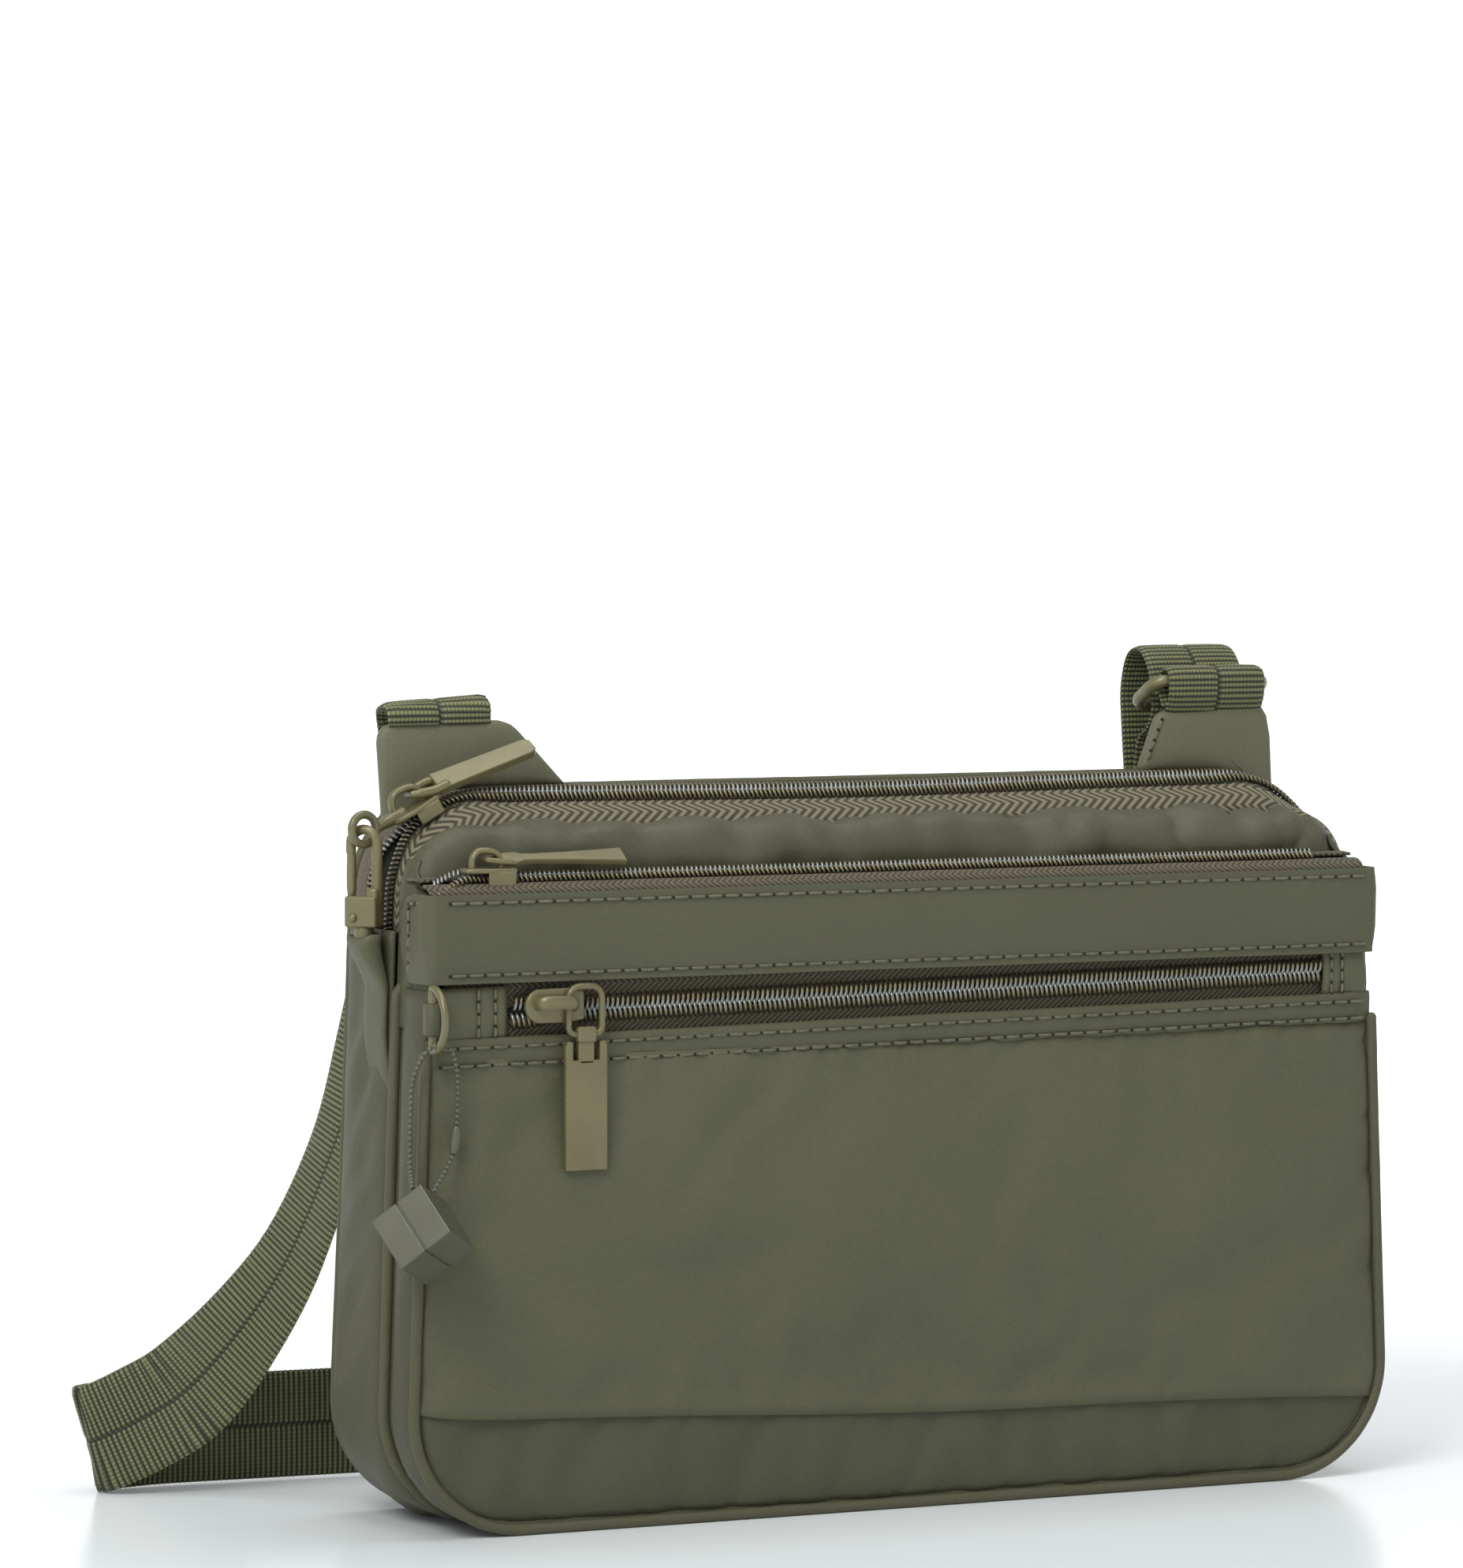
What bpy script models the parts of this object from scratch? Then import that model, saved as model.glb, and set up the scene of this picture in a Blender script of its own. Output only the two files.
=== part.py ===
"""Flat nylon crossbody purse: bag body, three zips, snap hook lock, charm and webbing strap.

Metres, +Z up, +X to the wearer's right, the front faces -Y. The origin is on the floor under the
middle of the bag.
"""

import math

import bmesh
import bpy
from mathutils import Euler, Vector

MM = 0.001
GAP = 0.3 * MM

# Bag outline, seen from the front
HALF_WIDTH_TOP = 119 * MM
HALF_WIDTH_LOW = 123 * MM
HEIGHT = 163.6 * MM
TOP_RADIUS = 24 * MM
LOW_RADIUS = 27 * MM
CORNER_STEPS = 7

# Depth of the bag, front to back
FRONT_Y = -22.5 * MM
PIPING_RADIUS = 1.2 * MM
FRONT_PIPING_Y = FRONT_Y + PIPING_RADIUS
MIDDLE_PIPING_Y = -3.9 * MM
REAR_Y = 25 * MM
REAR_PIPING_Y = REAR_Y - PIPING_RADIUS
PANEL_INSET = 2 * PIPING_RADIUS + GAP
PANEL_THICK = 1.3 * MM
CLOTH_THICK = 1.0 * MM

# Heights on the front
SEAM_Z = 22 * MM
LOWER_BAND_Z = (105 * MM, 111.4 * MM)
POCKET_ZIP_Z = 117 * MM
FRONT_BAND_Z = (122.4 * MM, 142 * MM)
FRONT_ZIP_Z = 143.4 * MM
UPPER_PANEL_Z = (144.4 * MM, 156 * MM)
UPPER_PANEL_HALF_WIDTH = 117 * MM
UPPER_PANEL_RADIUS = 16 * MM
PIPING_TOP_Z = 119 * MM
GUSSET_TOP_Z = 132 * MM
FRONT_PIPING_TOP_Z = 106 * MM
POCKET_BACKING_TOP_Z = 104 * MM

# Zips; each teeth width is across both rows
MAIN_ZIP_Y = 5 * MM
FRONT_ZIP_Y = -17 * MM
TEETH_HEIGHT = 2 * MM
MAIN_TEETH_WIDTH = 5.2 * MM
SMALL_TEETH_WIDTH = 4.4 * MM
ZIP_HALF_LENGTH = 106 * MM

# Strap
WEBBING_WIDTH = 25 * MM
WEBBING_THICK = 1.4 * MM
TAB_Y = 16.2 * MM
TAB_THICK = 2.4 * MM
TAB_TOP_Z = 178 * MM
LEFT_STRAP_X = -99.5 * MM
RIGHT_STRAP_X = 97 * MM
RING_FRONT = (16 * MM, 184.6 * MM)
RING_DEPTH = 13 * MM
RING_TILT = math.radians(-28)
RING_ROD = 1.5 * MM
ADJUSTER_PLACE = Vector((97, 34.4, 112)) * MM
RETURN_Y = 31.6 * MM
RETURN_Z = (115.2 * MM, 157.5 * MM)

# Zip sliders, pulls and the link between the pocket slider and its pull
SLIDER_TILT = math.radians(30)
SLIDER_PLACE = Vector((-110.9, 5, 158.7)) * MM
MAIN_PULL_RISE = 3.7 * MM
MAIN_PULL_SHIFT = 1.5 * MM
MAIN_PULL_TURN = Euler([math.radians(a) for a in (12, -18.8, 0)])
FRONT_SLIDER_PLACE = Vector((-102.6, -17, 146.4)) * MM
FRONT_PULL_RISE = 2.7 * MM
FRONT_PULL_TURN = Euler([math.radians(a) for a in (18, 0, 0)])
POCKET_SLIDER_PLACE = Vector((-89, -22.8, 117)) * MM
LINK_PLACE = Vector((-86.4, -25.2, 117)) * MM
PULL_BAR_Z = 110.6 * MM

# Snap hook, D-ring and charm
HOOK_PLACE = Vector((-124.4, 0.4, 135)) * MM
HOOK_TURN = math.radians(-45)
HOOK_HEIGHT = 20.4 * MM
HOOK_WIRE_X = 3.1 * MM
EYE_PLACE = Vector((-124.4, 0.4, 155.4)) * MM
D_RING_PLACE = Vector((-118.4, -24.2, 115)) * MM
CHARM_SIZE = 13.6 * MM
CHARM_PLACE = Vector((-123.8, -31.8, 69)) * MM
CHARM_TURN = Euler([math.radians(a) for a in (-117.7, -37.8, -30)])


def clear_scene():
    for item in list(bpy.data.objects):
        bpy.data.objects.remove(item, do_unlink=True)


def collection(name):
    made = bpy.data.collections.new(name)
    bpy.context.scene.collection.children.link(made)
    return made


clear_scene()
PARTS = collection("crossbody_purse")
CUTTERS = collection("cutters")


def material(name, colour, roughness, metallic=0.0):
    made = bpy.data.materials.new(name)
    made.use_nodes = True
    shader = made.node_tree.nodes["Principled BSDF"]
    shader.inputs["Base Color"].default_value = (*colour, 1)
    shader.inputs["Roughness"].default_value = roughness
    shader.inputs["Metallic"].default_value = metallic
    return made


def nylon(name):
    return material(name, (0.102, 0.105, 0.067), 0.62)


def piping_cloth(name):
    return material(name, (0.105, 0.102, 0.067), 0.55)


def lining_cloth(name):
    return material(name, (0.16, 0.155, 0.11), 0.8)


def zip_tape(name):
    return material(name, (0.17, 0.15, 0.097), 0.75)


def zip_teeth(name):
    return material(name, (0.16, 0.16, 0.15), 0.35, 0.8)


def webbing(name):
    return material(name, (0.09, 0.098, 0.053), 0.7)


def lacquered_metal(name):
    return material(name, (0.155, 0.14, 0.072), 0.38, 0.3)


def foam(name):
    return material(name, (0.5, 0.5, 0.47), 0.9)


def finish(item, look, smooth=True):
    """Give an object its place in the parts collection and its own material."""
    for home in item.users_collection:
        home.objects.unlink(item)
    PARTS.objects.link(item)
    item.data.materials.clear()
    item.data.materials.append(look(item.name))
    if smooth and item.type == "MESH":
        item.data.shade_smooth()
        item.data.set_sharp_from_angle(angle=math.radians(40))
    return item


def mesh_object(name, build):
    """A mesh object whose faces the function build adds to a bmesh."""
    work = bmesh.new()
    build(work)
    data = bpy.data.meshes.new(name)
    work.to_mesh(data)
    work.free()
    item = bpy.data.objects.new(name, data)
    bpy.context.scene.collection.objects.link(item)
    return item


def block(name, size, centre, bevel=0.0, segments=1):
    """A box with bevelled edges."""
    def build(work):
        bmesh.ops.create_cube(work, size=1)
        bmesh.ops.scale(work, vec=size, verts=work.verts)
        if bevel:
            bmesh.ops.bevel(work, geom=work.edges, offset=bevel, segments=segments,
                            affect="EDGES", profile=0.5)
    item = mesh_object(name, build)
    item.location = centre
    return item


def curve_object(name, loops, cyclic, dimensions):
    data = bpy.data.curves.new(name, "CURVE")
    data.dimensions = dimensions
    for points in loops:
        spline = data.splines.new("POLY")
        spline.points.add(len(points) - 1)
        for place, point in zip(spline.points, points):
            place.co = (*point, 0, 1) if len(point) == 2 else (*point, 1)
        spline.use_cyclic_u = cyclic
    item = bpy.data.objects.new(name, data)
    bpy.context.scene.collection.objects.link(item)
    return item


def plate(name, loops, thickness, centre=(0, 0, 0), turn=(math.pi / 2, 0, 0)):
    """A flat piece with the outline loops[0] and a hole for each further loop.

    With the default turn its outline lies in X and Z and its thickness runs along Y.
    """
    item = curve_object(name, loops, True, "2D")
    item.data.fill_mode = "BOTH"
    item.data.extrude = thickness / 2
    item.location = centre
    item.rotation_euler = turn
    return item


def tube(name, points, radius, cyclic=False):
    """A round rod through the points."""
    item = curve_object(name, [points], cyclic, "3D")
    item.data.bevel_depth = radius
    item.data.bevel_resolution = 2
    item.data.use_fill_caps = not cyclic
    return item


def band(name, edge_a, edge_b, thickness, cyclic=False):
    """A strip between two edges with the same number of points, thickened to one side."""
    def build(work):
        first = [work.verts.new(point) for point in edge_a]
        second = [work.verts.new(point) for point in edge_b]
        count = len(first)
        for i in range(count if cyclic else count - 1):
            j = (i + 1) % count
            work.faces.new((first[i], first[j], second[j], second[i]))
    item = mesh_object(name, build)
    solid = item.modifiers.new("thickness", "SOLIDIFY")
    solid.thickness = thickness
    solid.offset = -1
    solid.use_even_offset = True
    return item


def as_mesh(item):
    """The curve or mesh item as a plain mesh object, its place moved into its mesh."""
    bpy.context.view_layer.update()
    evaluated = item.evaluated_get(bpy.context.evaluated_depsgraph_get())
    data = bpy.data.meshes.new_from_object(evaluated)
    work = bmesh.new()
    work.from_mesh(data)
    bmesh.ops.remove_doubles(work, verts=work.verts, dist=0.01 * MM)
    bmesh.ops.transform(work, matrix=item.matrix_world, verts=work.verts)
    work.to_mesh(data)
    work.free()
    made = bpy.data.objects.new(item.name, data)
    bpy.context.scene.collection.objects.link(made)
    bpy.data.objects.remove(item, do_unlink=True)
    return made


def join(name, pieces, cuts=()):
    """One solid made of the pieces, less the cuts, which stay its children and move with it."""
    body, *others = [as_mesh(piece) for piece in (*pieces, *cuts)]
    for index, other in enumerate(others, 1):
        step = body.modifiers.new("join", "BOOLEAN")
        step.operation = "UNION" if index < len(pieces) else "DIFFERENCE"
        step.solver = "EXACT"
        step.object = other
        other.name = f"cutter_{name}_{index}"
        other.parent = body
        other.hide_render = True
        other.display_type = "WIRE"
        for home in other.users_collection:
            home.objects.unlink(other)
        CUTTERS.objects.link(other)
    body.name = name
    body.data.name = name
    return body


def arc(centre, radius, start, end, steps=CORNER_STEPS):
    """Points on an arc, angles in degrees."""
    angles = [math.radians(start + (end - start) * i / steps) for i in range(steps + 1)]
    return [(centre[0] + radius * math.cos(a), centre[1] + radius * math.sin(a)) for a in angles]


def half_width(z):
    share = (z - LOW_RADIUS) / (HEIGHT - TOP_RADIUS - LOW_RADIUS)
    return HALF_WIDTH_LOW + (HALF_WIDTH_TOP - HALF_WIDTH_LOW) * min(1, max(0, share))


def lower_path(inset, top_z):
    """From the left side at top_z, down and under the bag, up to the right side at top_z."""
    across = HALF_WIDTH_LOW - LOW_RADIUS
    side = half_width(top_z) - inset
    left = arc((-across, LOW_RADIUS), LOW_RADIUS - inset, 180, 270)
    right = arc((across, LOW_RADIUS), LOW_RADIUS - inset, 270, 360)
    return [(-side, top_z), *left, *right, (side, top_z)]


def upper_path(inset, foot_z):
    """From the left side at foot_z, up and over the bag, down to the right side at foot_z."""
    across = HALF_WIDTH_TOP - TOP_RADIUS
    rise = HEIGHT - TOP_RADIUS
    side = half_width(foot_z) - inset
    radius = TOP_RADIUS - inset
    left = arc((-across, rise), radius, 180, 90)
    right = arc((across, rise), radius, 90, 0)
    return [(-side, foot_z), *left, *right, (side, foot_z)]


def closed_outline(inset):
    """The whole outline of the bag, moved inwards by inset."""
    middle_z = HEIGHT / 2
    return [*lower_path(inset, middle_z), *reversed(upper_path(inset, middle_z)[1:-1])]


def clipped_outline(inset, low, high):
    """The stretch of the bag's outline between two heights."""
    points = closed_outline(inset)
    work = []
    count = len(points)
    for i, (x, z) in enumerate(points):
        next_x, next_z = points[(i + 1) % count]
        if low <= z <= high:
            work.append((x, z))
        for level in sorted((low, high), reverse=z > next_z):
            if min(z, next_z) < level < max(z, next_z):
                share = (level - z) / (next_z - z)
                work.append((x + share * (next_x - x), level))
    return work


def at_depth(path, y):
    return [(x, y, z) for x, z in path]


def rectangle(left, right, low, high, corner=0.0):
    if not corner:
        return [(left, low), (right, low), (right, high), (left, high)]
    return [
        *arc((left + corner, low + corner), corner, 180, 270, 3),
        *arc((right - corner, low + corner), corner, 270, 360, 3),
        *arc((right - corner, high - corner), corner, 0, 90, 3),
        *arc((left + corner, high - corner), corner, 90, 180, 3),
    ]


# ---------------------------------------------------------------- bag body


def back_panel():
    thick = 2.2 * MM
    item = plate("back_panel", [closed_outline(PANEL_INSET)], thick, (0, REAR_Y - thick / 2, 0))
    return finish(item, nylon)


def back_foam():
    thick = 1.5 * MM
    item = plate("back_foam", [closed_outline(4 * MM)], thick, (0, 21.6 * MM, 0))
    return finish(item, foam)


def slip_pocket():
    outline = rectangle(-88 * MM, 88 * MM, 12 * MM, 118 * MM, 6 * MM)
    item = plate("slip_pocket", [outline], CLOTH_THICK, (0, 20 * MM, 0))
    return finish(item, lining_cloth)


def main_gusset():
    path = lower_path(0, GUSSET_TOP_Z)
    item = band("main_gusset", at_depth(path, 22.2 * MM), at_depth(path, -2.4 * MM), CLOTH_THICK)
    return finish(item, nylon)


def piping(name, y, top_z):
    item = tube(name, at_depth(lower_path(PIPING_RADIUS, top_z), y), PIPING_RADIUS)
    return finish(item, piping_cloth)


def rear_piping():
    item = tube("rear_piping", at_depth(closed_outline(PIPING_RADIUS), REAR_PIPING_Y),
                PIPING_RADIUS, cyclic=True)
    return finish(item, piping_cloth)


def main_front_wall():
    item = plate("main_front_wall", [clipped_outline(PANEL_INSET, 0, UPPER_PANEL_Z[1])],
                 PANEL_THICK, (0, MIDDLE_PIPING_Y, 0))
    return finish(item, nylon)


def upper_front_panel():
    """The padded strip above the front zip, with large round upper corners."""
    low, high = UPPER_PANEL_Z
    thick = 4.6 * MM
    radius = UPPER_PANEL_RADIUS
    across = UPPER_PANEL_HALF_WIDTH - radius
    foot = math.degrees(math.asin((low - high + radius) / radius))
    outline = [*arc((across, high - radius), radius, foot, 90),
               *arc((-across, high - radius), radius, 90, 180 - foot)]
    item = plate("upper_front_panel", [outline], thick, (0, -5.4 * MM - thick / 2, 0))
    return finish(item, nylon)


def front_gusset():
    path = lower_path(0.6 * MM, 121.8 * MM)
    item = band("front_gusset", at_depth(path, -5.4 * MM), at_depth(path, -19.8 * MM), CLOTH_THICK)
    return finish(item, nylon)


def pocket_backing():
    outline = clipped_outline(PANEL_INSET, 0, POCKET_BACKING_TOP_Z)
    item = plate("pocket_backing", [outline], CLOTH_THICK, (0, -16 * MM, 0))
    return finish(item, lining_cloth)


def front_band():
    """The doubled band, which wraps round both front corners to the middle piping."""
    low, high = FRONT_BAND_Z
    side = HALF_WIDTH_TOP - 0.4 * MM
    corner = 3 * MM
    rear = -7.5 * MM
    path = [
        (-side, rear),
        *arc((-side + corner, FRONT_Y + corner), corner, 180, 270, 4),
        *arc((side - corner, FRONT_Y + corner), corner, 270, 360, 4),
        (side, rear),
    ]
    item = band("front_band", [(x, y, high) for x, y in path], [(x, y, low) for x, y in path],
                PANEL_THICK)
    return finish(item, nylon)


def front_sheet(name, low, high):
    """A flat piece of the bag's front between two heights."""
    item = plate(name, [clipped_outline(PANEL_INSET, low, high)], PANEL_THICK,
                 (0, FRONT_Y + PANEL_THICK / 2, 0))
    return finish(item, nylon)


def front_lower_band():
    return front_sheet("front_lower_band", *LOWER_BAND_Z)


def front_pocket_panel():
    return front_sheet("front_pocket_panel", SEAM_Z + GAP, LOWER_BAND_Z[0] - GAP)


def front_bottom_panel():
    return front_sheet("front_bottom_panel", 0, SEAM_Z)


# ---------------------------------------------------------------- zips


def main_zip_teeth():
    path = upper_path(0, GUSSET_TOP_Z + GAP)
    half = MAIN_TEETH_WIDTH / 2
    item = band("main_zip_teeth", at_depth(path, MAIN_ZIP_Y - half),
                at_depth(path, MAIN_ZIP_Y + half), TEETH_HEIGHT)
    return finish(item, zip_teeth)


def main_zip_front_tape():
    outer = upper_path(0.6 * MM, GUSSET_TOP_Z + GAP)
    inner = upper_path(5.0 * MM, GUSSET_TOP_Z + GAP)
    item = band("main_zip_front_tape", at_depth(inner, MIDDLE_PIPING_Y + PANEL_THICK / 2 + GAP),
                at_depth(outer, MAIN_ZIP_Y - MAIN_TEETH_WIDTH / 2 - 3 * GAP), CLOTH_THICK)
    return finish(item, zip_tape)


def main_zip_rear_tape():
    path = upper_path(0.6 * MM, GUSSET_TOP_Z + GAP)
    item = band("main_zip_rear_tape", at_depth(path, MAIN_ZIP_Y + MAIN_TEETH_WIDTH / 2 + GAP),
                at_depth(path, 22.2 * MM), CLOTH_THICK)
    return finish(item, zip_tape)


def front_zip_tape():
    """The tape on both sides of the front zip, flat between the band and the upper panel."""
    front = FRONT_Y + PANEL_THICK + GAP
    rear = -8 * MM
    middle = (front + rear) / 2
    item = block("front_zip_tape", (2 * ZIP_HALF_LENGTH + 10 * MM, rear - front, 0.8 * MM),
                 (0, middle, FRONT_ZIP_Z))
    return finish(item, zip_tape)


def straight_teeth(name, size, centre):
    item = block(name, size, centre, 0.5 * MM)
    return finish(item, zip_teeth)


def front_zip_teeth():
    base = FRONT_ZIP_Z + 0.4 * MM + GAP
    size = (2 * ZIP_HALF_LENGTH, SMALL_TEETH_WIDTH, TEETH_HEIGHT)
    return straight_teeth("front_zip_teeth", size, (0, FRONT_ZIP_Y, base + TEETH_HEIGHT / 2))


def pocket_zip_tape():
    low = LOWER_BAND_Z[1] - 4 * MM
    high = FRONT_BAND_Z[0] + 4 * MM
    item = block("pocket_zip_tape", (2 * ZIP_HALF_LENGTH + 16 * MM, 0.8 * MM, high - low),
                 (0, -20.1 * MM, (low + high) / 2))
    return finish(item, zip_tape)


def pocket_zip_teeth():
    size = (200 * MM, 1.6 * MM, 5.6 * MM)
    return straight_teeth("pocket_zip_teeth", size, (3 * MM, -21.6 * MM, POCKET_ZIP_Z))


def pocket_zip_stop(name, left, right):
    item = block(name, (right - left, 1.4 * MM, 10 * MM),
                 ((left + right) / 2, -21.6 * MM, 116.9 * MM), 0.3 * MM)
    return finish(item, nylon)


# ---------------------------------------------------------------- zip sliders and pulls


def slider_outline(half_length, half_across):
    """A plate with a round nose at -X and a straight tail at +X."""
    return [
        *arc((-half_length + half_across, 0), half_across, 90, 270, 8),
        (half_length, -half_across * 0.8),
        (half_length, half_across * 0.8),
    ]


def bridge(name, half_length, foot, top, radius):
    """The crown that a pull hangs from, an arch along X."""
    inner = half_length * 0.72
    points = [(-half_length, 0, foot), (-half_length, 0, top * 0.7), (-inner, 0, top),
              (inner, 0, top), (half_length, 0, top * 0.7), (half_length, 0, foot)]
    return tube(name, points, radius)


def slider(name, half_length, half_across, thick, crown, place, turn, extras=()):
    """A slider with its underside on its own XY plane; crown is (half length, height, radius)."""
    base = plate("base", [slider_outline(half_length, half_across)], thick,
                 (0, 0, thick / 2), (0, 0, 0))
    arch = bridge("arch", crown[0], thick / 2, crown[1], crown[2])
    item = join(name, [base, arch, *extras])
    item.location = place
    item.rotation_euler = turn
    return finish(item, lacquered_metal)


def main_slider():
    """The slider on the left top corner, with the eye that the snap hook holds."""
    to_local = Euler((0, -SLIDER_TILT, 0)).to_matrix().inverted()
    centre = to_local @ (EYE_PLACE - SLIDER_PLACE)
    across = to_local @ Vector((0.966, 0.259, 0))
    upright = to_local @ Vector((0, 0, 1))
    radius = 3.3 * MM
    ring = [centre + across * (radius * math.cos(a)) + upright * (radius * math.sin(a))
            for a in (2 * math.pi * i / 20 for i in range(20))]
    eye = tube("eye", ring, 0.95 * MM, cyclic=True)
    neck = tube("neck", [centre + across * radius, Vector((-6.8, -1.4, 1.6)) * MM,
                         Vector((-4, 0, 0.9)) * MM], 1.1 * MM)
    return slider("main_slider", 5.6 * MM, 4.6 * MM, 1.2 * MM, (3.6 * MM, 5.7 * MM, 0.85 * MM),
                  SLIDER_PLACE, (0, -SLIDER_TILT, 0), [neck, eye])


def pull_plate(name, outline, hole, thick, place, turn):
    """A flat pull whose hinge bar is on the object's own origin."""
    item = plate(name, [outline, hole], thick, place, turn)
    return finish(item, lacquered_metal)


def main_pull():
    """A long bar with two prongs, rolled a little towards the front."""
    outline = [(-0.9 * MM, -2.7 * MM), (30 * MM, -2.7 * MM), (31.5 * MM, -1.6 * MM),
               (31.5 * MM, 1.6 * MM), (30 * MM, 2.7 * MM), (-0.9 * MM, 2.7 * MM)]
    hole = rectangle(0.8 * MM, 5.8 * MM, -1.5 * MM, 1.5 * MM)
    turn = Euler((0, -SLIDER_TILT, 0)).to_matrix()
    place = SLIDER_PLACE + turn @ Vector((MAIN_PULL_SHIFT, 0, MAIN_PULL_RISE))
    return pull_plate("main_pull", outline, hole, 1.5 * MM, place, MAIN_PULL_TURN)


def front_slider():
    return slider("front_slider", 6 * MM, 3.6 * MM, 1.2 * MM, (3.4 * MM, 4.8 * MM, 0.7 * MM),
                  FRONT_SLIDER_PLACE, (0, 0, 0))


def front_pull():
    """A slim pull with a waist, lying along the zip to the right."""
    edge = [(-0.9, 2.3), (6.5, 2.3), (9, 1.4), (20, 1.6), (33, 2.6)]
    outline = [(x * MM, -y * MM) for x, y in edge] + [(x * MM, y * MM) for x, y in reversed(edge)]
    hole = rectangle(0.7 * MM, 5 * MM, -1.3 * MM, 1.3 * MM)
    place = FRONT_SLIDER_PLACE + Vector((0, 0, FRONT_PULL_RISE))
    return pull_plate("front_pull", outline, hole, 1.2 * MM, place, FRONT_PULL_TURN)


def pocket_slider():
    """The slider of the pocket zip; its underside faces the teeth."""
    return slider("pocket_slider", 7 * MM, 4.2 * MM, 1.4 * MM, (4.4 * MM, 4.6 * MM, 0.8 * MM),
                  POCKET_SLIDER_PLACE, (math.pi / 2, 0, 0))


def pocket_link():
    """The rectangular ring between the slider's arch and the pull."""
    low = PULL_BAR_Z - LINK_PLACE.z
    corners = rectangle(0, 8 * MM, low, 4.2 * MM, 1.4 * MM)
    item = tube("pocket_link", [(x, 0, z) for x, z in corners], 0.7 * MM, cyclic=True)
    item.location = LINK_PLACE
    return finish(item, lacquered_metal)


def pocket_pull():
    """The long flat pull, which hangs from the lower bar of the link."""
    half = 5 * MM
    neck = 2.9 * MM
    outline = [(-half, -30 * MM), (half, -30 * MM), (half, -4.6 * MM), (neck, -3.2 * MM),
               (neck, 1.5 * MM), (-neck, 1.5 * MM), (-neck, -3.2 * MM), (-half, -4.6 * MM)]
    slot = rectangle(-1.5 * MM, 1.5 * MM, -6 * MM, -2.2 * MM)
    body = plate("body", [outline, slot], 1.5 * MM, (0, 0, 0), (math.pi / 2, 0, 0))
    bore = tube("bore", [(-7 * MM, 0, 0), (7 * MM, 0, 0)], 1.0 * MM)
    lug = block("lug", (2 * neck, 3.4 * MM, 3.4 * MM), (0, 0, 0), 0.7 * MM)
    item = join("pocket_pull", [body, lug], [bore])
    place = Vector((LINK_PLACE.x + 4 * MM, LINK_PLACE.y, PULL_BAR_Z))
    item.location = place
    return finish(item, lacquered_metal)


# ---------------------------------------------------------------- snap hook


def hook_loop():
    """The webbing loop sewn on the gusset that holds the stud of the snap hook."""
    wide = 11 * MM
    middle_y = 3 * MM
    x = -half_width(100 * MM) - GAP - CLOTH_THICK / 2
    low = block("low", (CLOTH_THICK, wide, 29 * MM), (x, middle_y, 115.5 * MM), 0.3 * MM)
    shelf = block("shelf", (5.4 * MM, wide, 1.2 * MM),
                  (x - 2.2 * MM, middle_y, 129.4 * MM), 0.3 * MM)
    return finish(join("hook_loop", [low, shelf]), piping_cloth)


def hook_stud():
    """The round stud between the loop and the base block of the hook."""
    x, y, z = HOOK_PLACE
    item = tube("hook_stud", [(x, y, 130.3 * MM), (x, y, z - 1.5 * MM)], 2.2 * MM)
    return finish(item, lacquered_metal)


def snap_hook():
    """Base block and round wire that goes up, over and down to the tip of the gate."""
    base_high = 7 * MM
    body = block("body", (7.6 * MM, 5.2 * MM, base_high), (0, 0, base_high / 2 - 1.2 * MM),
                 0.8 * MM)
    bend_z = HOOK_HEIGHT - HOOK_WIRE_X
    points = [(HOOK_WIRE_X - 0.2 * MM, 0, 4 * MM), (HOOK_WIRE_X, 0, 10 * MM),
              (HOOK_WIRE_X, 0, bend_z)]
    points += [(x, 0, z) for x, z in arc((0, bend_z), HOOK_WIRE_X, 20, 180, 8)]
    points += [(-HOOK_WIRE_X, 0, bend_z - 1.8 * MM)]
    wire = tube("wire", points, 1.1 * MM)
    item = join("snap_hook", [body, wire])
    item.location = HOOK_PLACE
    item.rotation_euler = (0, 0, HOOK_TURN)
    return finish(item, lacquered_metal)


def hook_gate():
    """The sprung bar that closes the hook, pivoted just above the base block."""
    foot = 6.6 * MM
    length = HOOK_HEIGHT - HOOK_WIRE_X - 2.1 * MM - foot
    item = tube("hook_gate", [(0, 0, 0.4 * MM), (0, 0, length)], 1.0 * MM)
    side = HOOK_WIRE_X - 0.1 * MM
    item.location = HOOK_PLACE + Vector((-side * math.cos(HOOK_TURN), -side * math.sin(HOOK_TURN),
                                         foot))
    item.rotation_euler = (0, 0, HOOK_TURN)
    return finish(item, lacquered_metal)


# ---------------------------------------------------------------- D-ring and charm


def ring_sleeve():
    """The folded tape under the band's corner that holds the D-ring's straight bar."""
    outline = [(-2.4 * MM, 3.6 * MM), (-2.4 * MM, -0.4 * MM), *arc((0, 0), 2.4 * MM, 200, 340, 6),
               (2.4 * MM, 3.6 * MM)]
    hole = arc((0, 0), 1.45 * MM, 0, 330, 11)
    item = plate("ring_sleeve", [outline, hole], 6 * MM, D_RING_PLACE, (0, 0, 0))
    return finish(item, piping_cloth)


def d_ring():
    half = 6.9 * MM
    reach = 7.2 * MM
    bow = [(reach * math.sin(math.radians(a)), half * math.cos(math.radians(a)))
           for a in range(20, 161, 14)]
    points = [(0, half), *bow, (0, -half)]
    turn = math.radians(-76)
    item = tube("d_ring", [(x * math.cos(turn), x * math.sin(turn), z) for x, z in points],
                1.1 * MM, cyclic=True)
    item.location = D_RING_PLACE
    return finish(item, lacquered_metal)


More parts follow.
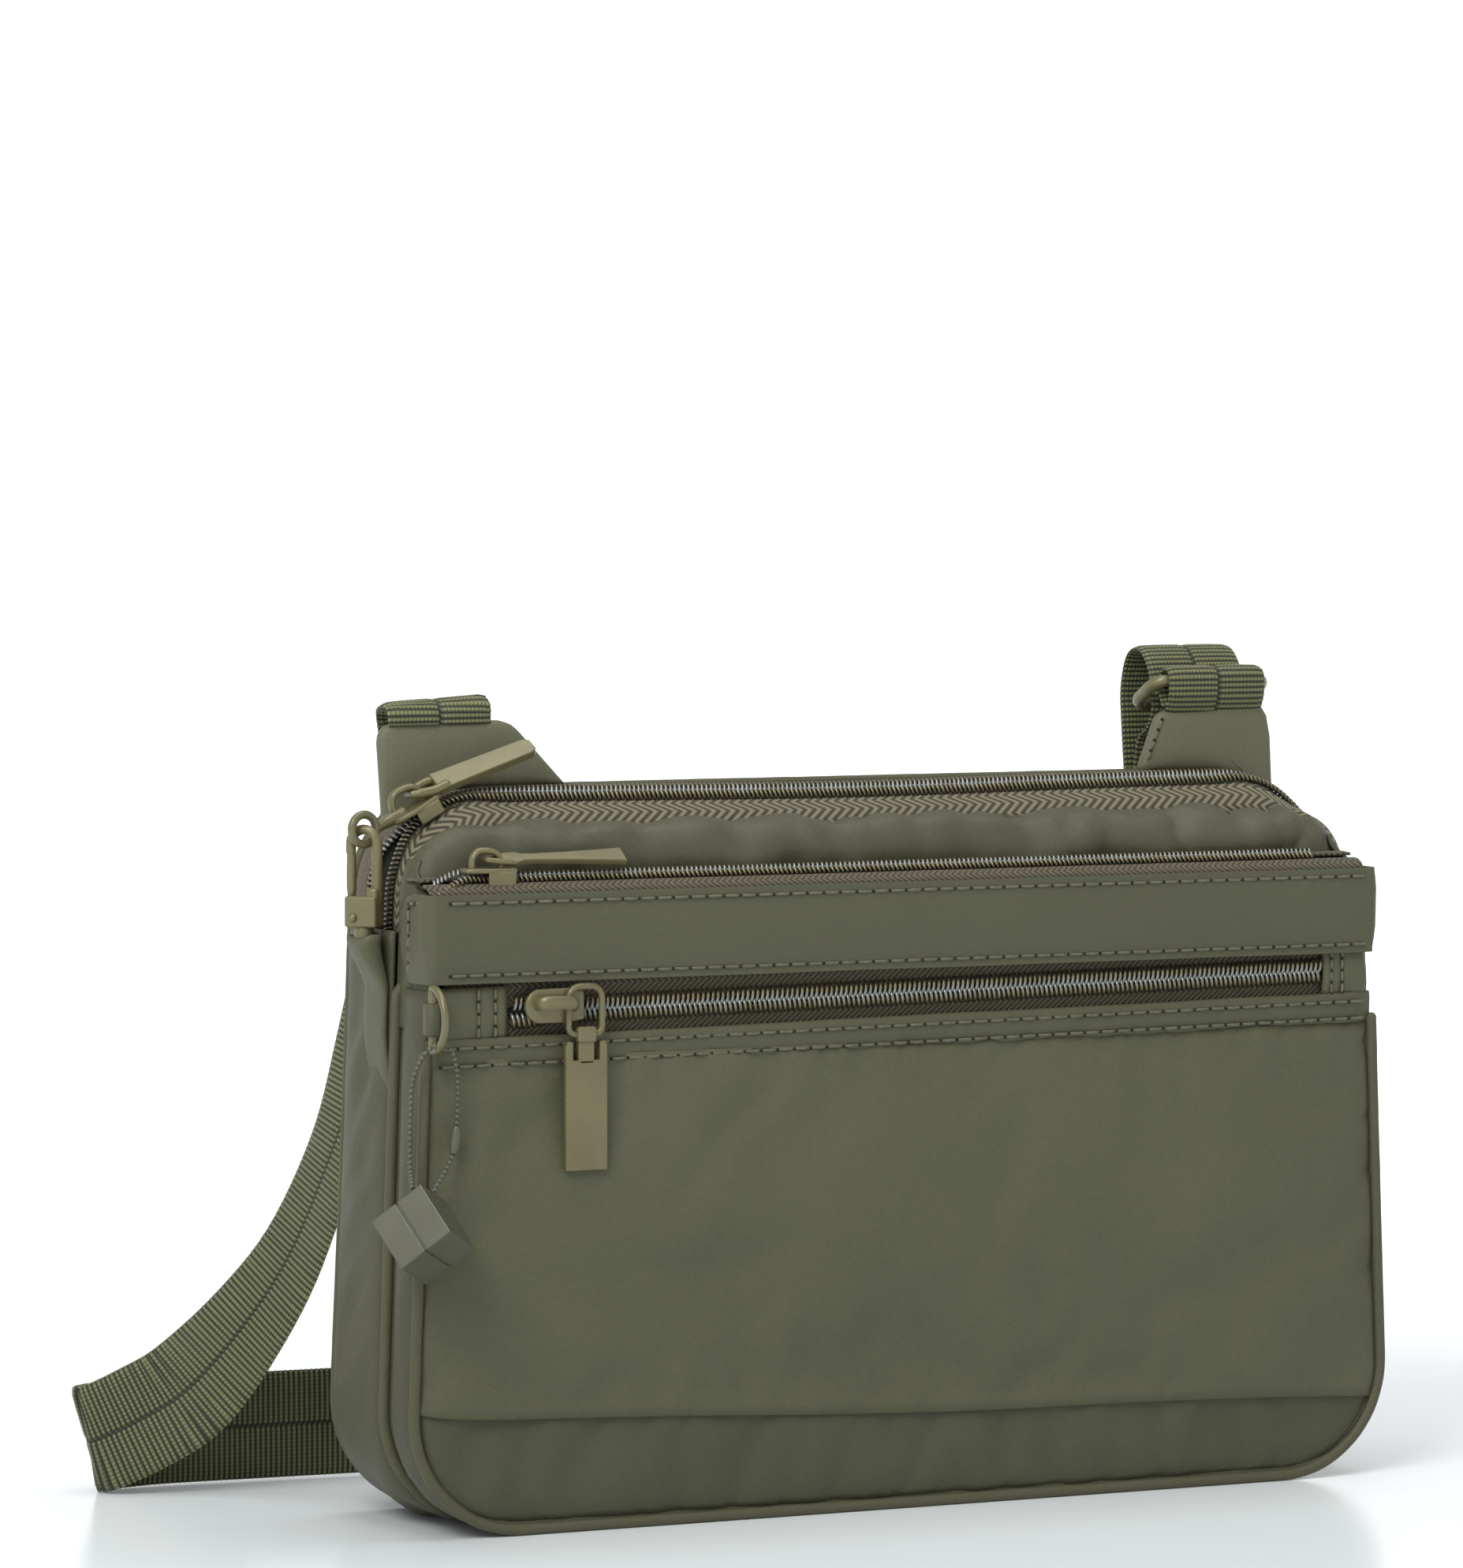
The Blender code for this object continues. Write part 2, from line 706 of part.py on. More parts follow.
def charm_chain():
    """The bead chain, which goes through the D-ring and straddles the front corner."""
    top = CHARM_PLACE + Vector((0.5, 1.5, 10.9)) * MM
    pivot = D_RING_PLACE + Vector((0.9, -3.4, -4.0)) * MM
    points = [top + Vector((-2.2, 0.5, -0.6)) * MM, Vector((-125.3, -20, 84)) * MM,
              Vector((-125.0, -17.5, 95)) * MM, Vector((-124.2, -19.5, 104)) * MM,
              Vector((-121.6, -25.0, 109.6)) * MM, Vector((-119.8, -27.2, 111.3)) * MM,
              pivot, Vector((-115.2, -27.9, 111.3)) * MM,
              Vector((-113.6, -27.9, 108.6)) * MM, Vector((-112.9, -26.6, 102)) * MM,
              Vector((-113.0, -25.4, 92)) * MM, Vector((-114.2, -25.6, 85)) * MM,
              top + Vector((3.4, 1.2, -1.6)) * MM]
    item = tube("charm_chain", points, 0.6 * MM)
    return finish(item, lacquered_metal)


def charm_cube():
    item = block("charm_cube", (CHARM_SIZE,) * 3, CHARM_PLACE, 0.6 * MM)
    item.rotation_euler = CHARM_TURN
    return finish(item, lacquered_metal)


# ---------------------------------------------------------------- strap


def tab_outline(middle, foot, shoulder):
    """A strap tab seen from the front: straight on its outer side, flared on its inner side.

    foot and shoulder are the inner edge's distances from the middle, at the bag and further up;
    shoulder also has its depth below the tab's top.
    """
    across = HALF_WIDTH_TOP - TOP_RADIUS
    rise = HEIGHT - TOP_RADIUS
    corner = arc((across, rise), TOP_RADIUS + GAP, 40, 90, 4)
    outer = middle + 15 * MM
    return [
        (middle - foot, HEIGHT + GAP),
        *reversed(corner),
        (outer, TAB_TOP_Z - 3 * MM),
        (outer - 2.5 * MM, TAB_TOP_Z),
        (middle - 14.5 * MM, TAB_TOP_Z),
        (middle - shoulder[0], TAB_TOP_Z - shoulder[1]),
    ]


def strap_tab(name, middle, foot, shoulder, side):
    outline = [(x * side, z) for x, z in tab_outline(abs(middle), foot, shoulder)]
    item = plate(name, [outline], TAB_THICK, (0, TAB_Y, 0))
    return finish(item, nylon)


def smooth(points, steps):
    """Points along a Catmull-Rom curve through the given ones."""
    padded = [2 * points[0] - points[1], *points, 2 * points[-1] - points[-2]]
    made = []
    for a, b, c, d in zip(padded, padded[1:], padded[2:], padded[3:]):
        for i in range(steps):
            t = i / steps
            made.append(0.5 * (2 * b + (c - a) * t + (2 * a - 5 * b + 4 * c - d) * t * t
                               + (3 * b - 3 * c + d - a) * t ** 3))
    return [*made, points[-1]]


def ribbon(name, route, steps, look):
    """Webbing along a route of (centre, width direction) in millimetres."""
    centres = smooth([Vector(centre) * MM for centre, _ in route], steps)
    widths = smooth([Vector(width).normalized() for _, width in route], steps)
    half = WEBBING_WIDTH / 2
    edge_a = [c - w.normalized() * half for c, w in zip(centres, widths)]
    edge_b = [c + w.normalized() * half for c, w in zip(centres, widths)]
    item = band(name, edge_a, edge_b, WEBBING_THICK)
    item.modifiers["thickness"].offset = 0
    item.modifiers["thickness"].use_even_offset = False
    return finish(item, look)


STRAP_ROUTE = [
    # over the left tab and down behind the bag
    ((-100.2, 15.4, 179.2), (1, 0, 0)),
    ((-100.2, 16.2, 181.4), (1, 0, 0)),
    ((-100.0, 20.0, 182.4), (1, 0, 0)),
    ((-98.4, 25.0, 180.0), (1, 0, 0)),
    ((-96.6, 28.4, 172.0), (1, 0, 0)),
    ((-95.4, 30.5, 156.0), (0.99, -0.12, 0)),
    ((-97.0, 34.0, 138.0), (0.88, -0.46, -0.05)),
    ((-101.6, 38.6, 120.0), (0.5, -0.84, -0.15)),
    ((-107.6, 42.0, 101.0), (0.15, -0.92, -0.33)),
    ((-113.6, 46.0, 79.0), (0, -0.9, -0.42)),
    # out to the left and down to the floor
    ((-121.4, 53.0, 55.0), (0.1, -0.88, -0.45)),
    ((-131.0, 60.0, 37.5), (0.28, -0.78, -0.56)),
    ((-143.0, 65.5, 24.5), (0.36, -0.6, -0.71)),
    ((-155.0, 69.5, 15.6), (0.3, -0.32, -0.9)),
    # the bend on the floor, then along it on its edge
    ((-163.2, 73.2, 12.9), (0.16, -0.2, -0.97)),
    ((-165.2, 77.5, 12.9), (0.05, -0.12, -0.99)),
    ((-161.5, 80.8, 12.8), (0, 0, -1)),
    ((-145.0, 81.5, 12.8), (0, 0, -1)),
    ((-115.0, 79.5, 12.8), (0, 0, -1)),
    ((-80.0, 77.5, 12.8), (0, 0, -1)),
    ((-40.0, 77.5, 12.8), (0, 0, -1)),
    ((0.0, 78.0, 12.8), (0, 0, -1)),
    ((35.0, 76.0, 13.6), (0.1, 0.35, -0.93)),
    # up behind the bag and flat again
    ((62.0, 70.5, 20.0), (0.35, 0.75, -0.55)),
    ((80.0, 61.5, 35.0), (0.62, 0.78, -0.05)),
    ((91.0, 50.5, 55.0), (0.9, 0.4, 0)),
    ((96.0, 41.0, 74.0), (0.99, 0.12, 0)),
    ((97.0, 36.4, 90.0), (1, 0, 0)),
    ((97.0, 35.4, 104.0), (1, 0, 0)),
    ((97.0, 35.4, 130.0), (1, 0, 0)),
    ((97.0, 35.8, 155.0), (1, 0, 0)),
    ((97.0, 37.6, 172.0), (1, 0, 0)),
    ((97.0, 38.2, 182.0), (1, 0, 0)),
    # the arch over the strap ring and round its rear bar
    ((97.0, 35.4, 189.6), (1, 0, 0)),
    ((97.0, 30.2, 191.6), (1, 0, 0)),
    ((97.0, 25.6, 188.4), (1, 0, 0)),
    ((97.0, 23.0, 182.4), (1, 0, 0)),
    ((97.0, 22.9, 176.6), (1, 0, 0)),
    ((97.0, 25.6, 173.0), (1, 0, 0)),
    ((97.0, 29.4, 170.6), (1, 0, 0)),
    ((97.0, 31.2, 165.0), (1, 0, 0)),
    ((97.0, 31.6, 158.0), (1, 0, 0)),
]


def shoulder_strap():
    return ribbon("shoulder_strap", STRAP_ROUTE, 3, webbing)


def strap_return():
    """The doubled webbing that comes back from the ring to the adjuster."""
    low, high = RETURN_Z
    route = [(Vector((RIGHT_STRAP_X, RETURN_Y, z)) / MM, (1, 0, 0)) for z in (high, low)]
    return ribbon("strap_return", route, 1, webbing)


def strap_adjuster():
    """A three-bar slide: outer bars behind the strap, middle bar in front of it."""
    rail = (2.2 * MM, 7.6 * MM, 20 * MM)
    rail_x = WEBBING_WIDTH / 2 + 1.9 * MM
    parts = [block("rail_left", rail, (-rail_x, 0, 0), 0.5 * MM),
             block("rail_right", rail, (rail_x, 0, 0), 0.5 * MM)]
    for name, y, z in (("middle", -2.6, 0), ("upper", 2.9, 8.6), ("lower", 2.9, -8.6)):
        parts.append(block(name, (2 * rail_x, 1.6 * MM, 2.6 * MM), (0, y * MM, z * MM), 0.3 * MM))
    item = join("strap_adjuster", parts)
    item.location = ADJUSTER_PLACE
    return finish(item, lacquered_metal)


def strap_ring():
    """A rounded rectangular ring; its front bar is on the object's own X axis."""
    half = WEBBING_WIDTH / 2 + 0.8 * MM + RING_ROD
    corners = rectangle(-half, half, 0, RING_DEPTH, 4 * MM)
    points = [(x, y * math.cos(RING_TILT), y * math.sin(RING_TILT)) for x, y in corners]
    item = tube("strap_ring", points, RING_ROD, cyclic=True)
    item.location = (RIGHT_STRAP_X, *RING_FRONT)
    return finish(item, lacquered_metal)


def right_webbing_loop():
    """The short webbing loop that holds the ring's front bar above the right tab."""
    y, z = RING_FRONT
    radius = RING_ROD + GAP + WEBBING_THICK
    foot_z = TAB_TOP_Z + 3 * GAP
    path = [(y - 0.8 * MM, foot_z), (y - 2.6 * MM, z - 3.2 * MM), *arc((y, z), radius, 190, -10, 10),
            (y + 2.6 * MM, z - 3.2 * MM), (y + 0.8 * MM, foot_z)]
    half = WEBBING_WIDTH / 2
    item = band("right_webbing_loop", [(RIGHT_STRAP_X - half, a, b) for a, b in path],
                [(RIGHT_STRAP_X + half, a, b) for a, b in path], WEBBING_THICK)
    return finish(item, webbing)


def build():
    back_panel()
    back_foam()
    slip_pocket()
    main_gusset()
    rear_piping()
    piping("middle_piping", MIDDLE_PIPING_Y, PIPING_TOP_Z)
    main_front_wall()
    upper_front_panel()
    front_gusset()
    piping("front_piping", FRONT_PIPING_Y, FRONT_PIPING_TOP_Z)
    pocket_backing()
    front_band()
    front_lower_band()
    front_pocket_panel()
    front_bottom_panel()
    main_zip_teeth()
    main_zip_front_tape()
    main_zip_rear_tape()
    front_zip_tape()
    front_zip_teeth()
    pocket_zip_tape()
    pocket_zip_teeth()
    pocket_zip_stop("pocket_zip_stop_left", -114 * MM, -98 * MM)
    pocket_zip_stop("pocket_zip_stop_right", 104 * MM, 115 * MM)
    main_slider()
    main_pull()
    front_slider()
    front_pull()
    pocket_slider()
    pocket_link()
    pocket_pull()
    hook_loop()
    hook_stud()
    snap_hook()
    hook_gate()
    ring_sleeve()
    d_ring()
    charm_chain()
    charm_cube()
    strap_tab("left_strap_tab", LEFT_STRAP_X, 30.3 * MM, (19.7 * MM, 3 * MM), -1)
    strap_tab("right_strap_tab", RIGHT_STRAP_X, 19.5 * MM, (15.6 * MM, 2.5 * MM), 1)
    shoulder_strap()
    strap_return()
    strap_adjuster()
    strap_ring()
    right_webbing_loop()


build()
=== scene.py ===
"""Looks of the crossbody purse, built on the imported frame, in millimetres until a mesh is made."""

import math
from bisect import bisect_left

import bmesh
import bpy
import numpy as np
from mathutils import Euler, Matrix, Vector, noise


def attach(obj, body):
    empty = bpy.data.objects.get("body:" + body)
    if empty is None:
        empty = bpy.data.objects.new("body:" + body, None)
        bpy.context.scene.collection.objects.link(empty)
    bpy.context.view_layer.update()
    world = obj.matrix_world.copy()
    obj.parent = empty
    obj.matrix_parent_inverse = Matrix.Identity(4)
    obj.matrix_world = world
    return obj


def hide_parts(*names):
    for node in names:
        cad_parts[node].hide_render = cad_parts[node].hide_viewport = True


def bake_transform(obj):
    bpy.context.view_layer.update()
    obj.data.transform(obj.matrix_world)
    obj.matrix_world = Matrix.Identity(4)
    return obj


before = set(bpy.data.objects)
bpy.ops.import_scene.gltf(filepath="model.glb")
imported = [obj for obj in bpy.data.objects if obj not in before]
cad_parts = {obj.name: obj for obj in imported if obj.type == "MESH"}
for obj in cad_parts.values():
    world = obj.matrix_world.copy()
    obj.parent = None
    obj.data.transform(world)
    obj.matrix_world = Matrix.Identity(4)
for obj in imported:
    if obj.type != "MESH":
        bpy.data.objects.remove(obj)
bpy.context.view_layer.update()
MM = 0.001

# The outline of the bag, as in the CAD
HALF_TOP = 119.0
HALF_LOW = 123.0
HEIGHT = 163.6
TOP_R = 24.0
LOW_R = 27.0
FRONT_Y = -22.5
MIDDLE_Y = -3.9
BAND_Y = -23.9

# Arc steps at a corner, the front cloth's step in from the outline, the rise of the pocket's hem
CORNER_STEPS = 18
PANEL_INSET = 1.6
HEM_SLOPE = 0.012

# Where the D-ring, the snap hook's base and the strap ring sit
D_RING_AT = (-118.4, -24.2, 115)
HOOK_AT = (-124.4, 0.4, 135.0)
STRAP_RING_AT = (97, 16, 184.6)
STRAP_RING_WIRE = 1.5

# Webbing, its ribs and beads, and the length of one stitch
WEB_WIDTH = 25.0
WEB_THICK = 1.4
RIB = 1.25
BEAD = 0.95
STITCH = 4.1


# ---------------------------------------------------------------- paths


def V(*values):
    return Vector(values)


def mix(a, b, share):
    return a + (b - a) * share


def ease(value, low, high):
    """0 below low, 1 above high, smooth between."""
    t = min(1.0, max(0.0, (value - low) / (high - low)))
    return t * t * (3 - 2 * t)


def ripple(x, z, scale, seed):
    """Smooth random folds between -1 and 1, the same in each run."""
    return noise.noise(V(x / scale, z / scale, seed))


def half_width(z):
    """Half the bag's width, which narrows a little towards its top corners."""
    share = (z - LOW_R) / (HEIGHT - TOP_R - LOW_R)
    return mix(HALF_LOW, HALF_TOP, min(1, max(0, share)))


def side_limit(z, inset):
    """Half the bag's width at a height, with its lower corners, moved in by inset."""
    full = half_width(z) - inset
    if z >= LOW_R:
        return full
    radius = LOW_R - inset
    rise = LOW_R - z
    across = HALF_LOW - LOW_R
    return across + math.sqrt(max(0.0, radius * radius - rise * rise))


def arc(centre, radius, start, end, steps):
    """Points on an arc from one angle to another, in degrees."""
    angles = [math.radians(mix(start, end, i / steps)) for i in range(steps + 1)]
    return [(centre[0] + radius * math.cos(a), centre[1] + radius * math.sin(a)) for a in angles]


def lower_path(inset, top_z):
    """The outline from top_z down the left side, along the floor and up the right side."""
    across = HALF_LOW - LOW_R
    side = half_width(top_z) - inset
    left = arc((-across, LOW_R), LOW_R - inset, 180, 270, CORNER_STEPS)
    right = arc((across, LOW_R), LOW_R - inset, 270, 360, CORNER_STEPS)
    return [(-side, top_z), *left, *right, (side, top_z)]


def upper_path(inset, foot_z):
    """The outline from foot_z up the left side, over the top and down the right side."""
    across = HALF_TOP - TOP_R
    rise = HEIGHT - TOP_R
    side = half_width(foot_z) - inset
    left = arc((-across, rise), TOP_R - inset, 180, 90, CORNER_STEPS)
    right = arc((across, rise), TOP_R - inset, 90, 0, CORNER_STEPS)
    return [(-side, foot_z), *left, *right, (side, foot_z)]


def lengths(points):
    """The distance along a line at each of its points."""
    total = [0.0]
    for a, b in zip(points, points[1:]):
        total.append(total[-1] + (b - a).length)
    return total


def spot(total, s):
    """The segment that holds the distance s along a line, and the share of it before s."""
    i = min(len(total) - 2, max(0, bisect_left(total, s) - 1))
    span = total[i + 1] - total[i]
    return i, (s - total[i]) / span if span else 0.0


def resample(points, step):
    """Points at an even spacing of about step along the polyline."""
    points = [Vector(p) for p in points]
    total = lengths(points)
    count = max(2, round(total[-1] / step) + 1)
    made = []
    for k in range(count):
        i, share = spot(total, total[-1] * k / (count - 1))
        made.append(points[i].lerp(points[i + 1], share))
    return made


def closed_loop(points, step):
    """Evenly spaced points round a closed line, with the first one not repeated."""
    return resample([*points, points[0]], step)[:-1]


def smooth(points, steps):
    """Points along a Catmull-Rom curve through the given ones."""
    points = [Vector(p) for p in points]
    padded = [2 * points[0] - points[1], *points, 2 * points[-1] - points[-2]]
    made = []
    for a, b, c, d in zip(padded, padded[1:], padded[2:], padded[3:]):
        for i in range(steps):
            t = i / steps
            made.append(0.5 * (2 * b + (c - a) * t + (2 * a - 5 * b + 4 * c - d) * t * t
                               + (3 * b - 3 * c + d - a) * t ** 3))
    return [*made, points[-1]]


# ---------------------------------------------------------------- meshes


def link(name, data):
    item = bpy.data.objects.new(name, data)
    bpy.context.scene.collection.objects.link(item)
    return item


def mesh_object(name, points, faces, uvs=None):
    """A mesh from points in millimetres; uvs has one pair in millimetres for each point."""
    data = bpy.data.meshes.new(name)
    data.from_pydata([tuple(Vector(p) * MM) for p in points], [], faces)
    if uvs is not None:
        layer = data.uv_layers.new(name="UVMap")
        for loop in data.loops:
            layer.data[loop.index].uv = uvs[loop.vertex_index]
    data.shade_smooth()
    return link(name, data)


def strip_faces(rows, width, closed, looped=False):
    """Quads between rows of points: closed joins each row's ends, looped the last row to the first."""
    faces = []
    for j in range(rows if looped else rows - 1):
        n = (j + 1) % rows
        for i in range(width if closed else width - 1):
            k = (i + 1) % width
            faces.append((j * width + i, j * width + k, n * width + k, n * width + i))
    return faces


def tube_faces(rows, width, looped=False):
    """The faces of a closed tube of rings, with an end face on each end unless it is looped."""
    faces = strip_faces(rows, width, True, looped)
    if not looped:
        faces += [tuple(reversed(range(width))), tuple(range((rows - 1) * width, rows * width))]
    return faces


def grid(name, rows, closed=False):
    """A sheet through rows of points, all of one length; closed joins each row's ends."""
    width = len(rows[0])
    points = [p for row in rows for p in row]
    middle = lengths([row[width // 2] for row in rows])
    uvs = [(a, middle[j]) for j, row in enumerate(rows) for a in lengths(row)]
    return mesh_object(name, points, strip_faces(len(rows), width, closed), uvs)


def place_rows(count, across, place):
    """Rows of points; place turns the shares down and across into a point."""
    return [[place(j / (count - 1), i / (across - 1)) for i in range(across)] for j in range(count)]


def thicken(item, thickness, offset=-1.0):
    made = item.modifiers.new("thickness", "SOLIDIFY")
    made.thickness = thickness * MM
    made.offset = offset
    made.use_even_offset = False
    return item


def round_edges(item, width):
    made = item.modifiers.new("edges", "BEVEL")
    made.width = width * MM
    made.segments = 3
    made.limit_method = "ANGLE"
    made.angle_limit = math.radians(35)
    made.harden_normals = False
    return item


def frames_along(points, closed):
    """A tangent, a side and an up for each point, without twist."""
    count = len(points)
    tangents = []
    for i in range(count):
        before = points[(i - 1) % count] if closed else points[max(0, i - 1)]
        after = points[(i + 1) % count] if closed else points[min(count - 1, i + 1)]
        tangents.append((after - before).normalized())
    side = tangents[0].orthogonal().normalized()
    made = []
    for tangent in tangents:
        side = (side - tangent * side.dot(tangent)).normalized()
        made.append((tangent, side, tangent.cross(side)))
    return made


def tube_parts(points, radius, sides, closed=False, caps=True):
    """Points and faces of a round rod; radius is one number or one for each point."""
    points = [Vector(p) for p in points]
    radii = radius if isinstance(radius, (list, tuple)) else [radius] * len(points)
    rings = list(zip(points, radii, frames_along(points, closed)))
    if caps and not closed:
        def cap(ring, way):
            centre, r, axes = ring
            return [(centre + axes[0] * (way * r * math.cos(a) * 0.9), r * math.sin(a), axes)
                    for a in (0.35 * math.pi / 2, 0.8 * math.pi / 2)]

        rings = [*cap(rings[0], -1), *rings, *reversed(cap(rings[-1], 1))]
    turns = [2 * math.pi * k / sides for k in range(sides)]
    verts = [centre + side * (r * math.cos(a)) + up * (r * math.sin(a))
             for centre, r, (_, side, up) in rings for a in turns]
    return verts, tube_faces(len(rings), sides, closed)


def merge(name, parts):
    """One mesh from several (points, faces)."""
    points = []
    faces = []
    for some_points, some_faces in parts:
        base = len(points)
        points += some_points
        faces += [tuple(i + base for i in face) for face in some_faces]
    return mesh_object(name, points, faces)


def rod(name, points, radius, sides, closed=False, widen=1.0):
    """A round rod as a piece; widen stretches it along Y."""
    item = merge(name, [tube_parts(points, radius, sides, closed)])
    if widen != 1:
        item.data.transform(Matrix.Diagonal((1, widen, 1, 1)))
    return item


def plate(name, outline, thickness, edge):
    """A flat piece in its XY plane with rounded edges."""
    data = bpy.data.curves.new(name, "CURVE")
    data.dimensions = "2D"
    data.fill_mode = "BOTH"
    data.extrude = (thickness / 2 - edge) * MM
    data.bevel_depth = edge * MM
    data.bevel_resolution = 2
    data.offset = -edge * MM
    spline = data.splines.new("POLY")
    spline.points.add(len(outline) - 1)
    for place, (x, y) in zip(spline.points, outline):
        place.co = (x * MM, y * MM, 0, 1)
    spline.use_cyclic_u = True
    curve = link(name, data)
    bpy.context.view_layer.update()
    shown = curve.evaluated_get(bpy.context.evaluated_depsgraph_get())
    made = bpy.data.meshes.new_from_object(shown)
    bpy.data.objects.remove(curve, do_unlink=True)
    work = bmesh.new()
    work.from_mesh(made)
    bmesh.ops.remove_doubles(work, verts=work.verts, dist=0.005 * MM)
    work.to_mesh(made)
    work.free()
    made.shade_smooth()
    made.set_sharp_from_angle(angle=math.radians(50))
    made.name = name
    return link(name, made)


def block(name, size, centre, edge):
    """A box with well rounded edges."""
    work = bmesh.new()
    bmesh.ops.create_cube(work, size=1)
    bmesh.ops.scale(work, vec=Vector(size) * MM, verts=work.verts)
    bmesh.ops.bevel(work, geom=work.edges, offset=edge * MM, segments=3, affect="EDGES", profile=0.5)
    bmesh.ops.translate(work, vec=Vector(centre) * MM, verts=work.verts)
    data = bpy.data.meshes.new(name)
    work.to_mesh(data)
    work.free()
    data.shade_smooth()
    data.set_sharp_from_angle(angle=math.radians(40))
    return link(name, data)


def put(item, place, turn=(0, 0, 0)):
    """Moves an item's mesh to its place in millimetres, after a turn."""
    matrix = Matrix.Translation(Vector(place) * MM) @ Euler(turn).to_matrix().to_4x4()
    item.data.transform(matrix)
    return item


def combine(name, items):
    """Several mesh objects as one, whose broad faces stay flat in their shading."""
    work = bmesh.new()
    for item in items:
        work.from_mesh(item.data)
        bpy.data.objects.remove(item, do_unlink=True)
    data = bpy.data.meshes.new(name)
    work.to_mesh(data)
    work.free()
    data.shade_smooth()
    data.set_sharp_from_angle(angle=math.radians(45))
    item = link(name, data)
    normals = item.modifiers.new("normals", "WEIGHTED_NORMAL")
    normals.weight = 100
    normals.keep_sharp = True
    return item


def finish(item, body, look, slot, *nodes):
    """Gives a piece its material and its body and hides the CAD nodes it stands for; slot is not used.
    """
    item.data.materials.clear()
    item.data.materials.append(look)
    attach(item, body)
    if nodes:
        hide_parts(*nodes)
    return item


# ---------------------------------------------------------------- materials


class Nodes:
    """A material's node tree, with short calls for the nodes that the looks share."""

    def __init__(self, name, colour, roughness, metallic=0.0, sheen=0.0, specular=0.5):
        self.material = bpy.data.materials.new(name)
        self.material.use_nodes = True
        self.tree = self.material.node_tree
        self.shader = self.tree.nodes["Principled BSDF"]
        for key, value in (("Base Color", (*colour, 1)), ("Roughness", roughness),
                           ("Metallic", metallic), ("Sheen Weight", sheen),
                           ("Sheen Roughness", 0.45), ("Sheen Tint", (0.8, 0.78, 0.6, 1)),
                           ("Specular IOR Level", specular)):
            self.shader.inputs[key].default_value = value

    def add(self, kind, **values):
        node = self.tree.nodes.new(kind)
        for key, value in values.items():
            if key in node.inputs:
                node.inputs[key].default_value = value
            else:
                setattr(node, key, value)
        return node

    def join(self, output, target):
        self.tree.links.new(output, target)

    def coordinates(self, kind="Object"):
        return self.add("ShaderNodeTexCoord").outputs[kind]

    def math(self, operation, a, b=None, c=None):
        node = self.add("ShaderNodeMath", operation=operation)
        for socket, value in zip(node.inputs, (a, b, c)):
            if value is None:
                continue
            if isinstance(value, (int, float)):
                socket.default_value = value
            else:
                self.join(value, socket)
        return node.outputs[0]

    def noise(self, source, scale, detail=2.0, roughness=0.5):
        node = self.add("ShaderNodeTexNoise", Scale=scale, Detail=detail, Roughness=roughness)
        self.join(source, node.inputs["Vector"])
        return node.outputs["Fac"]

    def stretch(self, source, scale=(1, 1, 1), turn=(0, 0, 0)):
        node = self.add("ShaderNodeMapping")
        node.inputs["Scale"].default_value = scale
        node.inputs["Rotation"].default_value = turn
        self.join(source, node.inputs["Vector"])
        return node.outputs["Vector"]

    def ramp(self, source, *stops):
        """stops are (place, colour)."""
        node = self.add("ShaderNodeValToRGB")
        elements = node.color_ramp.elements
        while len(elements) < len(stops):
            elements.new(0.5)
        for element, (place, colour) in zip(elements, stops):
            element.position = place
            element.color = (*colour, 1)
        self.join(source, node.inputs["Fac"])
        return node.outputs["Color"]

    def colour(self, output):
        self.join(output, self.shader.inputs["Base Color"])

    def roughness(self, output):
        self.join(output, self.shader.inputs["Roughness"])

    def total(self, *terms):
        """The sum of (value, weight) terms."""
        parts = [self.math("MULTIPLY", value, weight) for value, weight in terms]
        made = parts[0]
        for part in parts[1:]:
            made = self.math("ADD", made, part)
        return made

    def wave(self, operation, phase):
        """A sine or cosine of phase, between 0 and 1."""
        swing = self.math("MULTIPLY", self.math(operation, phase), 0.5)
        return self.math("ADD", swing, 0.5)

    def across_along(self):
        """The two UV axes in millimetres: across a tape or round a strap, and along it."""
        place = self.add("ShaderNodeSeparateXYZ")
        self.join(self.coordinates("UV"), place.inputs[0])
        return place.outputs[0], place.outputs[1]

    def bump(self, height, strength, distance, before=None):
        node = self.add("ShaderNodeBump", Strength=strength, Distance=distance * MM)
        self.join(height, node.inputs["Height"])
        if before is not None:
            self.join(before, node.inputs["Normal"])
        self.join(node.outputs["Normal"], self.shader.inputs["Normal"])
        return node.outputs["Normal"]


def shade(colour, factor):
    return tuple(c * factor for c in colour)


def weave_height(made, pitch):
    """A fine diagonal twill that doesn't need UVs."""
    place = made.coordinates()
    slanted = made.stretch(place, turn=(0, math.radians(38), math.radians(12)))
    wave = made.add("ShaderNodeTexWave", Scale=2 * math.pi / (20 * pitch * MM))
    wave.wave_type = "BANDS"
    wave.bands_direction = "X"
    made.join(slanted, wave.inputs["Vector"])
    return wave.outputs["Fac"]


